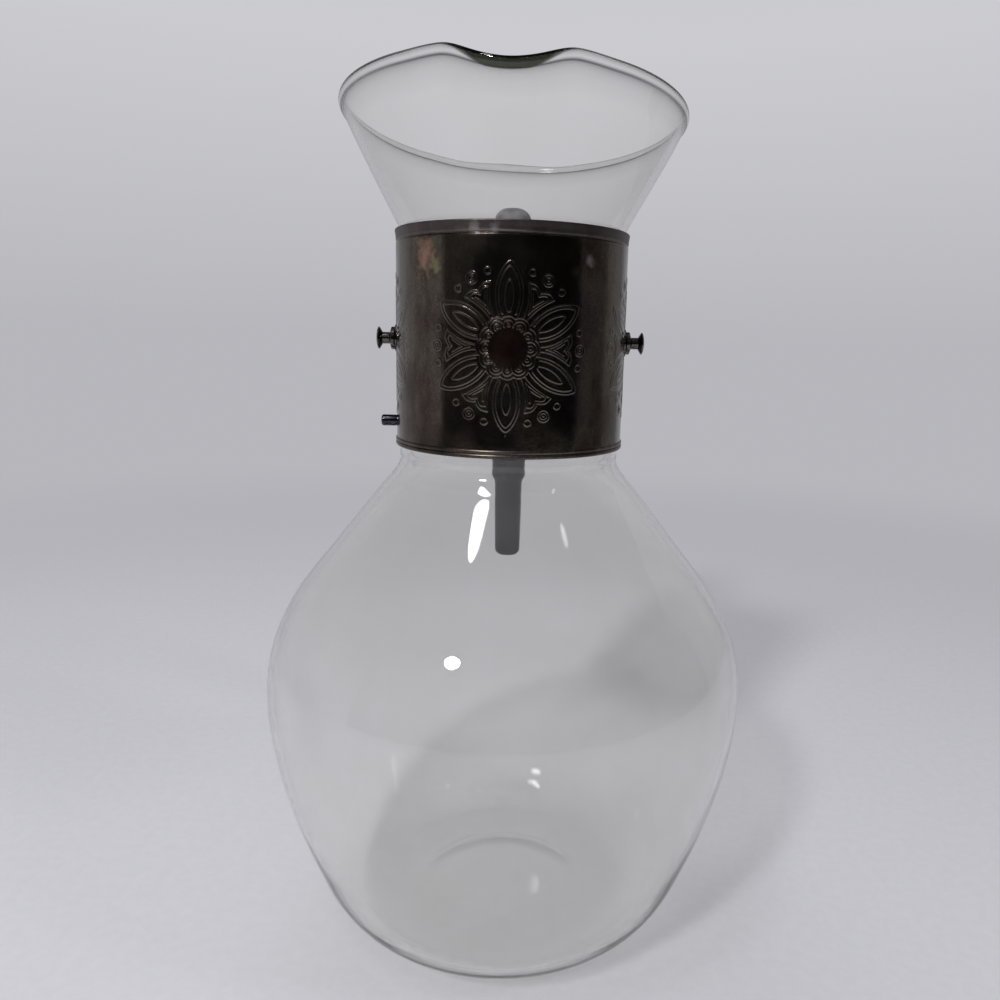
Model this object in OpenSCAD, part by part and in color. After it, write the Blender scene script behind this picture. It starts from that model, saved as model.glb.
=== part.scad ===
// Glass carafe with a split metal neck collar, two spool trunnions, a stop pin and a handle.
// Millimetres, +Z up. The origin is the centre of the flat base.
// The pouring lip faces -Y, the handle is at +Y, and the trunnion axis lies along X.

/* [Glass body] */
// Widest diameter of the glass body
body_d = 165.6; // [150:0.2:180]
// Height of the glass shoulder where the collar starts
shoulder_h = 172; // [150:1:190]
// Wall of the blown glass
glass_wall = 2; // [1.4:0.1:3]
// Thickness of the glass at the middle of the base
base_wall = 2.6; // [2:0.1:5]

/* [Glass neck and mouth] */
// Outer diameter of the neck at its waist
waist_d = 57.2; // [50:0.2:64]
// Diameter of the round mouth, over the outside of its flared wall
mouth_d = 109.8; // [96:0.2:120]
// Height of the mouth above the top of the collar, at the sides
mouth_rise = 35.9; // [28:0.1:45]
// How far the rim stands above its mean height at the lip, and below it at the back
rim_slope = 4.9; // [0:0.1:9]
// How far the rim's right side hangs below its mean height
rim_lean = 1.1; // [0:0.05:2]
// Thickness of the rounded rim
rim_wall = 2.5; // [2.2:0.1:4]
// Height of the rounded rim, along the flared wall
rim_h = 3.4; // [2.4:0.1:5]

/* [Pouring lip] */
// Angle from the middle of the lip to where it runs out into the rim
lip_angle = 21; // [14:1:32]
// How far the lip is turned to the right, in degrees
lip_turn = -2; // [-6:0.5:6]
// How far the lip dips below the rim
lip_dip = 4.4; // [1:0.1:8]
// How far the lip is drawn outwards
lip_push = 3.4; // [0:0.1:7]
// How far the rim rises on each side of the lip
lip_flank = 0.6; // [0:0.1:2]
// Height of the flared wall that the lip is drawn from
lip_h = 24; // [14:1:30]

/* [Collar] */
// Outer diameter of the collar
collar_d = 76.2; // [70:0.2:84]
// Height of the collar
collar_h = 69.2; // [60:0.1:80]
// Thickness of the collar's sheet metal
sheet = 0.8; // [0.5:0.05:1.2]
// Height of the plain strip at the top of the collar
strip_h = 4.2; // [3:0.1:7]
// Depth of the crease below the strip
crease = 0.35; // [0.1:0.05:0.5]
// How far the strip's top edge turns outwards
lip_flare = 0.3; // [0:0.1:1.5]
// Height of each of the two beads at the bottom of the collar
bead_h = 1.3; // [0.8:0.1:2]
// How far the beads stand out
bead_out = 0.4; // [0.1:0.05:0.6]

/* [Cork seats] */
// Height of the cork strip at each end of the collar
cork_h = 3.6; // [2:0.1:4]
// Gap left around the cork strips
cork_gap = 0.04; // [0.02:0.01:0.1]
// Width of the gap in each cork strip, at the back
cork_split = 1; // [0.5:0.1:3]

/* [Trunnions] */
// Height of the trunnion axis above the bottom of the collar
trunnion_h = 34.8; // [28:0.1:42]
// Diameter of the spool's inner shoulder
boss_d = 7.5; // [6:0.1:9]
// Length of the spool's inner shoulder
boss_l = 1.9; // [1.2:0.1:3]
// Diameter of the groove that the stand's fork holds
journal_d = 3.85; // [3:0.05:5]
// Length of that groove
journal_l = 2.5; // [1.8:0.1:4]
// Diameter of the spool's end disc
disc_d = 7.4; // [6:0.1:9]
// Thickness of the spool's end disc
disc_l = 1.9; // [1.4:0.1:3]
// Diameter of the shank through the collar
shank_d = 3.2; // [2.6:0.1:3.6]
// Diameter of the washers on both sides of the collar
washer_d = 9; // [8:0.1:11]
// Thickness of those washers
washer_t = 0.6; // [0.4:0.05:1]

/* [Stop pin] */
// Height of the stop pin above the bottom of the collar
stop_h = 7.2; // [6.6:0.1:9]
// Diameter of the stop pin
stop_d = 3.8; // [3:0.1:5]
// How far the stop pin stands out of the collar
stop_l = 5.5; // [4:0.1:9]
// Diameter of the stop pin's shank through the collar
stop_shank_d = 2.4; // [1.8:0.1:2.8]
// Diameter of the small washer behind the stop pin
stop_washer_d = 5.6; // [4.6:0.1:6]

/* [Handle] */
// Width of the grip at its top and middle
grip_w = 15.8; // [13:0.1:20]
// Thickness of the grip, from palm to fingers
grip_t = 14.6; // [11:0.1:18]
// Distance from the carafe's axis to the middle of the grip
grip_reach = 95.5; // [90:0.5:105]
// Height of the grip's free end above the base
grip_end_h = 107.5; // [96:0.5:120]
// How far the middle of the grip's arch stands above the top of the collar
arch_rise = 9.4; // [6:0.1:14]
// Distance from the collar to the middle of the handle's root
root_gap = 12.4; // [11:0.1:16]
// Width of the tongue between the collar's ears
tongue_w = 8.6; // [7:0.1:10]

/* [Ears and screws] */
// How far the ears stand out of the collar
ear_l = 11; // [10:0.1:12]
// Height of each ear
ear_h = 17; // [12:0.1:20]
// Height of the lower screw above the bottom of the collar
screw_low_h = 17; // [13:0.5:24]
// Height of the upper screw above the bottom of the collar
screw_high_h = 51; // [44:0.5:55]
// Diameter of the cross screws
screw_d = 4; // [3:0.1:4.5]
// Diameter of a screw's domed head
head_d = 7.6; // [6:0.1:9]
// Height of a screw's domed head
head_h = 2.4; // [1.6:0.1:3]
// Size of a nut across its flats
nut_af = 7; // [6:0.1:8]
// Thickness of a nut
nut_h = 2.6; // [2:0.1:4]
// Outer diameter of a screw washer
flat_d = 8.6; // [7.6:0.1:10]
// Thickness of a screw washer
flat_t = 0.7; // [0.5:0.05:1]

/* [Fits] */
// Gap between a shank and its hole, all round
hole_gap = 0.1; // [0.05:0.01:0.2]
// Gap between the handle's tongue and each ear
ear_gap = 0.1; // [0.05:0.01:0.3]
// Gap between a nut or washer and its screw, all round
thread_gap = 0.03; // [0.01:0.01:0.06]

/* [Smoothness] */
// Steps round a full turn of the flared mouth
mouth_steps = 72; // [48:8:96]
// Points round the handle
grip_steps = 20; // [16:4:28]

/* [Hidden] */
$fn = 96;
fine_steps = 256;

body_r = body_d / 2;
collar_r = collar_d / 2;
collar_inner_r = collar_r - sheet;
collar_top_h = shoulder_h + collar_h;
mouth_h = collar_top_h + mouth_rise;
seat_cork = 0.6;
seat_r = collar_inner_r - seat_cork;
waist_h = shoulder_h + collar_h / 2;
overrun = 1;

// Shares of the body's radius and of the shoulder's height, from the foot up to the neck
body_shares = [
    [0.411, 0], [0.556, 0.012], [0.688, 0.05], [0.777, 0.104], [0.851, 0.188], [0.92, 0.285],
    [0.974, 0.39], [1, 0.497], [0.979, 0.595], [0.886, 0.695], [0.704, 0.808], [0.533, 0.912],
    [0.4755, 0.9448], [0.4475, 0.969]
];
// Shares of the way from the waist out to the cork seats, and of half the collar's height
neck_shares = [[1, -1], [0.36, -0.6], [0, 0], [0.33, 0.6], [1, 1]];
// Shares of the way from the collar's top out and up to the mouth
flare_shares = [[0.46, 0.46], [1, 1]];

function mix(a, b, t) = a + (b - a) * t;
function clamp01(t) = min(1, max(0, t));
function ease(t) = let (u = clamp01(t)) u * u * (3 - 2 * u);
function dome(a, half) = abs(a) < half ? (1 + cos(180 * a / half)) / 2 : 0;
function arc(c, rx, ry, a0, a1, n) = [
    for (i = [0:n]) let (a = mix(a0, a1, i / n)) c + [rx * cos(a), ry * sin(a)]
];

// A smooth curve through knots of any dimension, with each span cut into n steps
function spline_at(p, q, r, s, t) =
    0.5 * (2 * q + (r - p) * t + (2 * p - 5 * q + 4 * r - s) * t * t + (3 * q - p - 3 * r + s) * t * t * t);
function spline(k, n) = let (m = len(k) - 1) [
    for (i = [0:m - 1], j = [0:n - 1])
        spline_at(i > 0 ? k[i - 1] : 2 * k[0] - k[1], k[i], k[i + 1],
                  i < m - 1 ? k[i + 2] : 2 * k[m] - k[m - 1], j / n),
    k[m]
];
function tangent(c, i) =
    let (d = c[min(i + 1, len(c) - 1)] - c[max(i - 1, 0)], u = [d[0], d[1]]) u / norm(u);

// The outside of the glass, as radius and height, from the foot to the mouth
outline_steps = 4;
glass_knots = [
    for (s = body_shares) [s[0] * body_r, s[1] * shoulder_h],
    for (s = neck_shares) [mix(waist_d / 2, seat_r, s[0]), waist_h + s[1] * collar_h / 2],
    for (s = flare_shares) [mix(seat_r, mouth_d / 2, s[0]), mix(collar_top_h, mouth_h - rim_h / 2, s[1])]
];
glass_outer = spline(glass_knots, outline_steps);
spans_to_waist = len(body_shares) + 2;
join_index = spans_to_waist * outline_steps;
join_h = glass_outer[join_index][1];
heel_spans = 5;
heel_steps = heel_spans * outline_steps;

// The wall gets thicker down the heel, towards the base
function wall_at(i) = mix(base_wall, glass_wall, ease(i / heel_steps));
function inward(i) =
    let (t = tangent(glass_outer, i), w = wall_at(i)) glass_outer[i] + w * [-t[1], t[0]];
glass_inner = [for (i = [0:len(glass_outer) - 1]) inward(i)];
// Radius of the outside of the glass at a height above the shoulder
neck_table = [
    for (i = [(len(body_shares) - 1) * outline_steps:len(glass_outer) - 1])
        [glass_outer[i][1], glass_outer[i][0]]
];
function glass_r(h) = lookup(h, neck_table);

module lower_glass() {
    outer = [for (i = [0:join_index]) glass_outer[i]];
    inner = [for (i = [join_index:-1:1]) glass_inner[i]];
    rotate_extrude()
        polygon(concat([[0, 0]], outer, inner, [[0, base_wall]]));
}

// One upright cut through the flared mouth: up the outside, over the rim and down the inside
joint_inset = 0.15;
joint_sink = 1;
rim_steps = 8;
rim_from = -20;
rim_to = 200;
last_wall = len(glass_outer) - 2;
flare_outer = [for (i = [join_index + 1:last_wall]) glass_outer[i]];
flare_inner = [for (i = [last_wall:-1:join_index + 1]) glass_inner[i]];
// The rim is an oval bead that leans out with the flared wall
wall_way = tangent(glass_outer, len(glass_outer) - 1);
rim_middle = [mouth_d / 2, mouth_h - rim_h / 2] - rim_wall / 2 * [wall_way[1], -wall_way[0]];
rim_bead = [
    for (p = arc([0, 0], rim_wall / 2, rim_h / 2, rim_from, rim_to, rim_steps))
        rim_middle + p[0] * [wall_way[1], -wall_way[0]] + p[1] * wall_way
];
flare_cut = concat(
    [[glass_outer[join_index][0] - joint_inset, join_h - joint_sink]],
    flare_outer,
    rim_bead,
    flare_inner,
    [[glass_inner[join_index][0] + joint_inset, join_h - joint_sink]]
);

// The rim's slope and the drawn lip, at angle a from the middle of the lip.
// A low flank rises on each side of the lip: its middle and its half width are shares of lip_angle
flank_middle_share = 0.95;
flank_half_share = 0.6;
function from_lip(a) = let (b = a - lip_turn) b > 180 ? b - 360 : b;
function lip_middle(a) = dome(from_lip(a), lip_angle);
function lip_side(a) = dome(abs(from_lip(a)) - lip_angle * flank_middle_share, lip_angle * flank_half_share);
function slope_weight(h) = ease((h - collar_top_h) / (mouth_h - collar_top_h));
function lip_weight(h) = ease((h - (mouth_h - lip_h)) / lip_h);
function mouth_rise_at(p, a) =
    slope_weight(p[1]) * (rim_slope * cos(a) - rim_lean * sin(a))
    + lip_weight(p[1]) * (lip_flank * lip_side(a) - lip_dip * lip_middle(a));
function mouth_out_at(p, a) = lip_weight(p[1]) * (lip_push * lip_middle(a) - lip_flank * lip_side(a));
function mouth_point(p, a) =
    let (r = p[0] + mouth_out_at(p, a)) [r * sin(a), -r * cos(a), p[1] + mouth_rise_at(p, a)];

module flared_mouth() {
    m = len(flare_cut);
    n = mouth_steps;
    points = [for (j = [0:n - 1], p = flare_cut) mouth_point(p, 360 * j / n)];
    faces = [
        for (j = [0:n - 1], i = [0:m - 1])
            let (k = (j + 1) % n, u = (i + 1) % m) each [
                [j * m + i, k * m + u, k * m + i],
                [j * m + i, j * m + u, k * m + u]
            ]
    ];
    polyhedron(points, faces, convexity = 8);
}

module glass_vessel() {
    color([0.86, 0.9, 0.9, 0.35])
        union() {
            lower_glass();
            flared_mouth();
        }
}

// A wedge of cork between the glass and the collar, from height h0 to h1
cork_rows = 4;
module cork_strip(h0, h1) {
    side = [for (i = [0:cork_rows]) let (h = mix(h1, h0, i / cork_rows)) [glass_r(h) + cork_gap, h]];
    outer_r = collar_inner_r - cork_gap;
    color([0.62, 0.46, 0.3])
        difference() {
            rotate_extrude()
                polygon(concat([[outer_r, h0], [outer_r, h1]], side));
            translate([-cork_split / 2, 0, h0 - overrun])
                cube([cork_split, collar_r + overrun, h1 - h0 + 2 * overrun]);
        }
}
cork_inset = 0.3;
module cork_lower() {
    cork_strip(shoulder_h + cork_inset, shoulder_h + cork_inset + cork_h);
}
module cork_upper() {
    cork_strip(collar_top_h - cork_inset - cork_h, collar_top_h - cork_inset);
}

// The collar's sheet in section, with its two beads, its crease and its turned lip
bead_steps = 6;
crease_h = collar_top_h - strip_h;
crease_w = 0.5;
module collar_section() {
    bead_0 = arc([collar_r, shoulder_h + bead_h / 2], bead_out, bead_h / 2, -90, 90, bead_steps);
    bead_1 = arc([collar_r, shoulder_h + bead_h * 3 / 2], bead_out, bead_h / 2, -90, 90, bead_steps);
    lip = arc([collar_r + lip_flare - sheet / 2, collar_top_h - sheet / 2], sheet / 2, sheet / 2, 0, 180,
              bead_steps);
    polygon(concat(
        [[collar_inner_r, shoulder_h]],
        bead_0,
        bead_1,
        [
            [collar_r, crease_h - crease_w],
            [collar_r - crease, crease_h],
            [collar_r, crease_h + crease_w]
        ],
        lip,
        [[collar_inner_r, crease_h]]
    ));
}

ear_in = tongue_w / 2 + ear_gap;
ear_out = ear_in + sheet;
ear_end = collar_r + ear_l;
screw_y = collar_r + ear_l / 2;
screw_low = shoulder_h + screw_low_h;
screw_high = shoulder_h + screw_high_h;
ear_corner = 3;
ear_corner_steps = 5;

// One flat ear, standing out of the collar beside the seam, with its outer corners rounded
module ear(h) {
    c = [ear_end - ear_corner, ear_h / 2 - ear_corner];
    inner_y = collar_inner_r;
    translate([0, 0, h])
        rotate([90, 0, 90])
            linear_extrude(sheet)
                polygon(concat(
                    [[inner_y, ear_h / 2], [inner_y, -ear_h / 2]],
                    arc([c[0], -c[1]], ear_corner, ear_corner, -90, 0, ear_corner_steps),
                    arc(c, ear_corner, ear_corner, 0, 90, ear_corner_steps)
                ));
}
module along_x(x, y, z, d, l) {
    translate([x, y, z])
        rotate([0, 90, 0])
            cylinder(d = d, h = l);
}

trunnion_z = shoulder_h + trunnion_h;
stop_z = shoulder_h + stop_h;
module collar_band() {
    color([0.27, 0.22, 0.19])
        difference() {
            union() {
                difference() {
                    rotate_extrude()
                        collar_section();
                    translate([-ear_in, 0, shoulder_h - overrun])
                        cube([2 * ear_in, collar_d, collar_h + 2 * overrun]);
                }
                for (h = [screw_low, screw_high]) {
                    translate([ear_in, 0, 0]) ear(h);
                    translate([-ear_out, 0, 0]) ear(h);
                }
            }
            for (h = [screw_low, screw_high])
                along_x(-ear_out - overrun, screw_y, h, screw_d + 2 * hole_gap, 2 * (ear_out + overrun));
            along_x(-collar_d, 0, trunnion_z, shank_d + 2 * hole_gap, 2 * collar_d);
            along_x(-collar_d, 0, stop_z, stop_shank_d + 2 * hole_gap, collar_d);
        }
}

// A spool, turned about +Z, with its shoulder's face at the height of the outer washer
peen_h = 1.1;
peen_share = 0.8;
edge = 0.35;
shank_out = collar_r + washer_t;
shank_in = collar_inner_r - washer_t;
boss_end = shank_out + boss_l;
journal_end = boss_end + journal_l;
disc_end = journal_end + disc_l;
disc_cone = 0.6;
dome_steps = 5;
module spool() {
    peen_r = washer_d / 2 * peen_share;
    rotate_extrude()
        polygon(concat(
            [[0, shank_in - peen_h]],
            arc([0, shank_in], peen_r, peen_h, -90, 0, dome_steps),
            [
                [shank_d / 2, shank_in],
                [shank_d / 2, shank_out],
                [boss_d / 2, shank_out],
                [boss_d / 2, boss_end - edge],
                [boss_d / 2 - edge, boss_end],
                [journal_d / 2, boss_end],
                [journal_d / 2, journal_end],
                [disc_d / 2, journal_end + disc_cone]
            ],
            arc([0, disc_end - disc_cone], disc_d / 2, disc_cone, 0, 90, dome_steps)
        ));
}
module on_side(side, z) {
    translate([0, 0, z])
        rotate([0, side * 90, 0])
            children();
}
module trunnion_left() {
    color([0.42, 0.36, 0.3]) on_side(-1, trunnion_z) spool();
}
module trunnion_right() {
    color([0.42, 0.36, 0.3]) on_side(1, trunnion_z) spool();
}

// A round washer on the outside of the collar, hollowed to sit on its curve
module outer_washer(side) {
    color([0.42, 0.36, 0.3])
        difference() {
            on_side(side, trunnion_z)
                translate([0, 0, collar_r - washer_t])
                    cylinder(d = washer_d, h = 2 * washer_t);
            translate([0, 0, shoulder_h])
                cylinder(r = collar_r, h = collar_h, $fn = fine_steps);
            on_side(side, trunnion_z)
                cylinder(d = shank_d + 2 * hole_gap, h = collar_d);
        }
}
module trunnion_washer_left() {
    outer_washer(-1);
}
module trunnion_washer_right() {
    outer_washer(1);
}

// A round washer on the inside of the collar, curved to sit against it
module inner_washer(side, z, d, hole) {
    color([0.55, 0.45, 0.25])
        difference() {
            intersection() {
                on_side(side, z)
                    translate([0, 0, collar_inner_r - washer_t])
                        cylinder(d = d, h = 2 * washer_t);
                translate([0, 0, shoulder_h])
                    cylinder(r = collar_inner_r, h = collar_h, $fn = fine_steps);
            }
            on_side(side, z)
                cylinder(d = hole + 2 * hole_gap, h = collar_d);
        }
}
module trunnion_backing_left() {
    inner_washer(-1, trunnion_z, washer_d, shank_d);
}
module trunnion_backing_right() {
    inner_washer(1, trunnion_z, washer_d, shank_d);
}
module stop_pin_backing() {
    inner_washer(-1, stop_z, stop_washer_d, stop_shank_d);
}

stop_peen_h = 0.8;
stop_round = 0.8;
module stop_pin() {
    peen_r = stop_washer_d / 2 * peen_share;
    color([0.3, 0.28, 0.3])
        on_side(-1, stop_z)
            rotate_extrude()
                polygon(concat(
                    [[0, shank_in - stop_peen_h]],
                    arc([0, shank_in], peen_r, stop_peen_h, -90, 0, dome_steps),
                    [
                        [stop_shank_d / 2, shank_in],
                        [stop_shank_d / 2, collar_r],
                        [stop_d / 2, collar_r],
                        [stop_d / 2, collar_r + stop_l - stop_round]
                    ],
                    arc([stop_d / 2 - stop_round, collar_r + stop_l - stop_round], stop_round, stop_round,
                        0, 90, dome_steps),
                    [[0, collar_r + stop_l]]
                ));
}

// The handle's middle line: place along Y, height, thickness share and width share at each knot
root_y = collar_r + root_gap;
root_low = screw_low - ear_h / 2;
arch_h = collar_top_h + arch_rise;
reach = grip_reach - root_y;
drop = arch_h - grip_end_h;
// Shares of the handle's reach and of its drop from the arch, then of its thickness and width
grip_shares = [
    [0.26, 0, 1.02, 1], [0.58, 0.03, 0.97, 0.99], [0.83, 0.13, 0.96, 0.98], [0.955, 0.28, 1, 1],
    [1, 0.46, 1.04, 1], [1.005, 0.62, 1.04, 0.99], [1, 0.75, 0.97, 1.02], [1, 0.79, 0.9, 0.85],
    [0.998, 0.88, 0.84, 0.8], [0.995, 1, 0.76, 0.75]
];
root_shares = [[0.76, 0.8], [0.9, 0.88], [1.02, 0.96]];
end_round = 3.4;
end_steps = 4;
root_top = screw_high + ear_h / 2;
grip_knots = concat(
    [
        for (i = [0:2])
            [root_y, mix(root_low + end_round, root_top, i / 2), root_shares[i][0] * grip_t,
             root_shares[i][1] * grip_w]
    ],
    [
        for (s = grip_shares)
            [root_y + s[0] * reach, arch_h - s[1] * (drop - end_round), s[2] * grip_t, s[3] * grip_w]
    ]
);
grip_span_steps = 3;
grip_line = spline(grip_knots, grip_span_steps);
// Rings past each end, drawn in on a quarter circle
function cap(first, q) = let (
    i = first ? 0 : len(grip_line) - 1,
    t = (first ? -1 : 1) * tangent(grip_line, i),
    a = 90 * q / end_steps,
    p = grip_line[i],
    inset = 2 * end_round * (1 - cos(a))
) [p[0] + t[0] * end_round * sin(a), p[1] + t[1] * end_round * sin(a), p[2] - inset, p[3] - inset];
grip_rings = concat(
    [for (q = [end_steps:-1:1]) cap(true, q)],
    grip_line,
    [for (q = [1:end_steps]) cap(false, q)]
);
corner_power = 0.78;
function squared(v) = sign(v) * pow(abs(v), corner_power);
function ring_point(i, a) = let (
    g = grip_rings[i],
    last = len(grip_rings) - 1 - end_steps,
    t = tangent(grip_rings, min(max(i, end_steps), last)),
    off = g[2] / 2 * squared(cos(a))
) [g[3] / 2 * squared(sin(a)), g[0] + t[1] * off, g[1] - t[0] * off];

module grip_body() {
    n = grip_steps;
    m = len(grip_rings);
    points = [for (i = [0:m - 1], j = [0:n - 1]) ring_point(i, 360 * j / n)];
    faces = concat(
        [[for (j = [n - 1:-1:0]) j]],
        [[for (j = [0:n - 1]) (m - 1) * n + j]],
        [
            for (i = [0:m - 2], j = [0:n - 1])
                let (k = (j + 1) % n) each [
                    [i * n + j, i * n + k, (i + 1) * n + k],
                    [i * n + j, (i + 1) * n + k, (i + 1) * n + j]
                ]
        ]
    );
    polyhedron(points, faces, convexity = 8);
}

// The grip's root is cut back beside its tongue, so that the ears lie in two steps
tongue_gap = 0.5;
tongue_inset = 0.6;
step_y = ear_end + ear_gap;
module handle_grip() {
    tongue_h = root_top - root_low - 2 * tongue_inset;
    tongue_y = collar_r + tongue_gap;
    color([0.13, 0.13, 0.15])
        difference() {
            union() {
                grip_body();
                translate([-tongue_w / 2, tongue_y, root_low + tongue_inset])
                    cube([tongue_w, root_y - tongue_y, tongue_h]);
            }
            for (side = [0, 1])
                mirror([side, 0, 0])
                    translate([tongue_w / 2, 0, root_low - overrun])
                        cube([grip_w, step_y, root_top - root_low + 2 * overrun]);
            for (h = [screw_low, screw_high])
                along_x(-grip_w, screw_y, h, screw_d + 2 * hole_gap, 2 * grip_w);
        }
}

// A cross screw: its domed head on the left, its plain shank through ears, tongue and nut
nut_seat = ear_out + flat_t;
module screw(h) {
    shank_end = nut_seat + nut_h + edge;
    color([0.5, 0.47, 0.42])
        translate([0, screw_y, h])
            rotate([0, 90, 0])
                rotate_extrude()
                    polygon(concat(
                        [[0, -nut_seat - head_h]],
                        arc([0, -nut_seat - edge], head_d / 2, head_h - edge, -90, 0, dome_steps),
                        [
                            [head_d / 2, -nut_seat],
                            [screw_d / 2, -nut_seat],
                            [screw_d / 2, shank_end - edge],
                            [screw_d / 2 - edge, shank_end],
                            [0, shank_end]
                        ]
                    ));
}
module handle_screw_upper() {
    screw(screw_high);
}
module handle_screw_lower() {
    screw(screw_low);
}

module nut(h) {
    color([0.5, 0.47, 0.42])
        difference() {
            translate([nut_seat, screw_y, h])
                rotate([0, 90, 0])
                    cylinder(d = nut_af / cos(30), h = nut_h, $fn = 6);
            along_x(0, screw_y, h, screw_d + 2 * thread_gap, grip_w);
        }
}
module handle_nut_upper() {
    nut(screw_high);
}
module handle_nut_lower() {
    nut(screw_low);
}

module handle_washers() {
    color([0.5, 0.47, 0.42])
        for (h = [screw_low, screw_high], x = [-nut_seat, ear_out])
            difference() {
                along_x(x, screw_y, h, flat_d, flat_t);
                along_x(x - overrun, screw_y, h, screw_d + 2 * thread_gap, flat_t + 2 * overrun);
            }
}

glass_vessel();
cork_upper();
cork_lower();
collar_band();
trunnion_left();
trunnion_right();
trunnion_washer_left();
trunnion_washer_right();
trunnion_backing_left();
trunnion_backing_right();
stop_pin();
stop_pin_backing();
handle_grip();
handle_screw_upper();
handle_screw_lower();
handle_nut_upper();
handle_nut_lower();
handle_washers();
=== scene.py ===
# %% [markdown]
# # A blown glass carafe in a tarnished metal collar
# This lesson dresses a imported model of a carafe: thin blown glass, a split collar chased with
# rosettes, two turned trunnions, a stop pin and a moulded handle. The imported model is the fixed
# frame. Every piece made here goes exactly where a imported node already is, so the first step
# loads that frame.

# %% Load the imported frame
import math

import bpy
import numpy as np
from mathutils import Matrix, Vector, kdtree


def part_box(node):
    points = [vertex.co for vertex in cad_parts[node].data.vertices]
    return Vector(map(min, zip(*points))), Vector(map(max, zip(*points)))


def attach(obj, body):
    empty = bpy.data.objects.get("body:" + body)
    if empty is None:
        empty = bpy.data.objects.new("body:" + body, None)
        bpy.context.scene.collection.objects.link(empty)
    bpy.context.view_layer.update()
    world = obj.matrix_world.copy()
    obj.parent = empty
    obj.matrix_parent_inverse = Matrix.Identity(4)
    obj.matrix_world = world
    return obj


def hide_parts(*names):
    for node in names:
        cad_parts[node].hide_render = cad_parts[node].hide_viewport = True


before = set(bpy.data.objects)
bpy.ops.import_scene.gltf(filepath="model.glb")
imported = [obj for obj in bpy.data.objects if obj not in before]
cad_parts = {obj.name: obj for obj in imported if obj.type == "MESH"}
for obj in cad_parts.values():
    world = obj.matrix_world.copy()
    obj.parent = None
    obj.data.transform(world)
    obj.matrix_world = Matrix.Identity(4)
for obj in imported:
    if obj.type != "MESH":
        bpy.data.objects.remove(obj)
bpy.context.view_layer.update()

print("nodes in the frame:", len(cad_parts))

# %% [markdown]
# ## Sizes
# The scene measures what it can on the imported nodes: the glass, the collar and the trunnions
# give their own diameters and heights. The rest are the maker's sizes, in millimetres, as on a
# drawing. One number, mm, turns them into Blender's metres when a mesh is made.

# %% Sizes read from the frame
mm = 0.001
bead_h, bead_out, strip_h, lip_flare = 1.3, 0.4, 3.7, 0.3
glass_inset = 0.02


def node_box(name):
    """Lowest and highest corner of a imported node, in millimetres."""
    low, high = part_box(name)
    return np.array(low) / mm, np.array(high) / mm


def middle_height(name):
    return np.mean([corner[2] for corner in node_box(name)])


glass_high = node_box("glass_vessel")[1]
collar_low, collar_high = node_box("collar_band")
body_r = glass_high[0] - glass_inset
shoulder_h = collar_low[2]
collar_top_h = collar_high[2]
collar_h = collar_top_h - shoulder_h
collar_r = collar_high[0] - bead_out
trunnion_z, stop_z = middle_height("trunnion_left"), middle_height("stop_pin")
screw_low, screw_high = middle_height("handle_nut_lower"), middle_height("handle_nut_upper")
tiers = (("lower", screw_low), ("upper", screw_high))
hands = (("left", -1), ("right", 1))
print("body diameter", round(body_r * 2, 1), "collar", round(collar_r * 2, 1), "x", round(collar_h, 1))

# %% [markdown]
# ## Shared helpers
# Most parts of a carafe are turned or swept, so two makers cover them: one turns a profile
# round an axis, and one joins rings of points into a skin. A third helper turns the points into
# a Blender mesh, lets it ride on the root body and hides the imported node it stands for.

# %% Curves


def mix(a, b, t):
    return a + (b - a) * t


def ease(t):
    u = np.clip(t, 0, 1)
    return u * u * (3 - 2 * u)


def dome(a, half):
    """1 in the middle, falling smoothly to 0 at half on both sides."""
    return np.where(np.abs(a) < half, (1 + np.cos(np.pi * a / half)) / 2, 0)


def bell(x, middle, width):
    """1 at the middle, and about a third of that at the width to each side."""
    return np.exp(-((x - middle) / width) ** 2)


def arc(middle, rx, ry, a0, a1, steps):
    """Points on an ellipse's arc, from a0 to a1 degrees."""
    a = np.radians(np.linspace(a0, a1, steps + 1))
    return [(middle[0] + rx * math.cos(v), middle[1] + ry * math.sin(v)) for v in a]


def spline(knots, steps):
    """A smooth curve through knots, each span cut into equal steps."""
    k = np.array(knots, float)
    k = np.vstack([2 * k[0] - k[1], k, 2 * k[-1] - k[-2]])
    out = []
    for p, q, r, s in zip(k, k[1:], k[2:], k[3:]):
        for t in np.arange(steps) / steps:
            bend = (2 * p - 5 * q + 4 * r - s) * t * t + (3 * q - p - 3 * r + s) * t ** 3
            out.append(0.5 * (2 * q + (r - p) * t + bend))
    return np.array(out + [k[-2]])


def directions(curve):
    """Unit direction of a curve's first two coordinates at each of its points."""
    d = np.gradient(curve[:, :2], axis=0)
    return d / np.linalg.norm(d, axis=1)[:, None]


# %% Meshes


def in_scene(name, data):
    """A new object in the scene that shows this mesh, lamp or lens."""
    obj = bpy.data.objects.new(name, data)
    bpy.context.scene.collection.objects.link(obj)
    return obj


def bare_mesh(name, points, faces):
    """A mesh from points in millimetres."""
    mesh = bpy.data.meshes.new(name)
    mesh.from_pydata((np.array(points) * mm).tolist(), [], faces)
    return mesh


def piece(name, points, faces, material, replaces=(), sharp=32):
    """A mesh in millimetres becomes a piece of the carafe that rides on the root body."""
    mesh = bare_mesh(name, points, faces)
    mesh.validate()
    mesh.polygons.foreach_set("use_smooth", [True] * len(mesh.polygons))
    mesh.set_sharp_from_angle(angle=math.radians(sharp))
    mesh.materials.append(material)
    obj = in_scene(name, mesh)
    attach(obj, "root")
    if replaces:
        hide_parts(*replaces)
    print(name, "has", len(mesh.polygons), "faces")
    return obj


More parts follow.
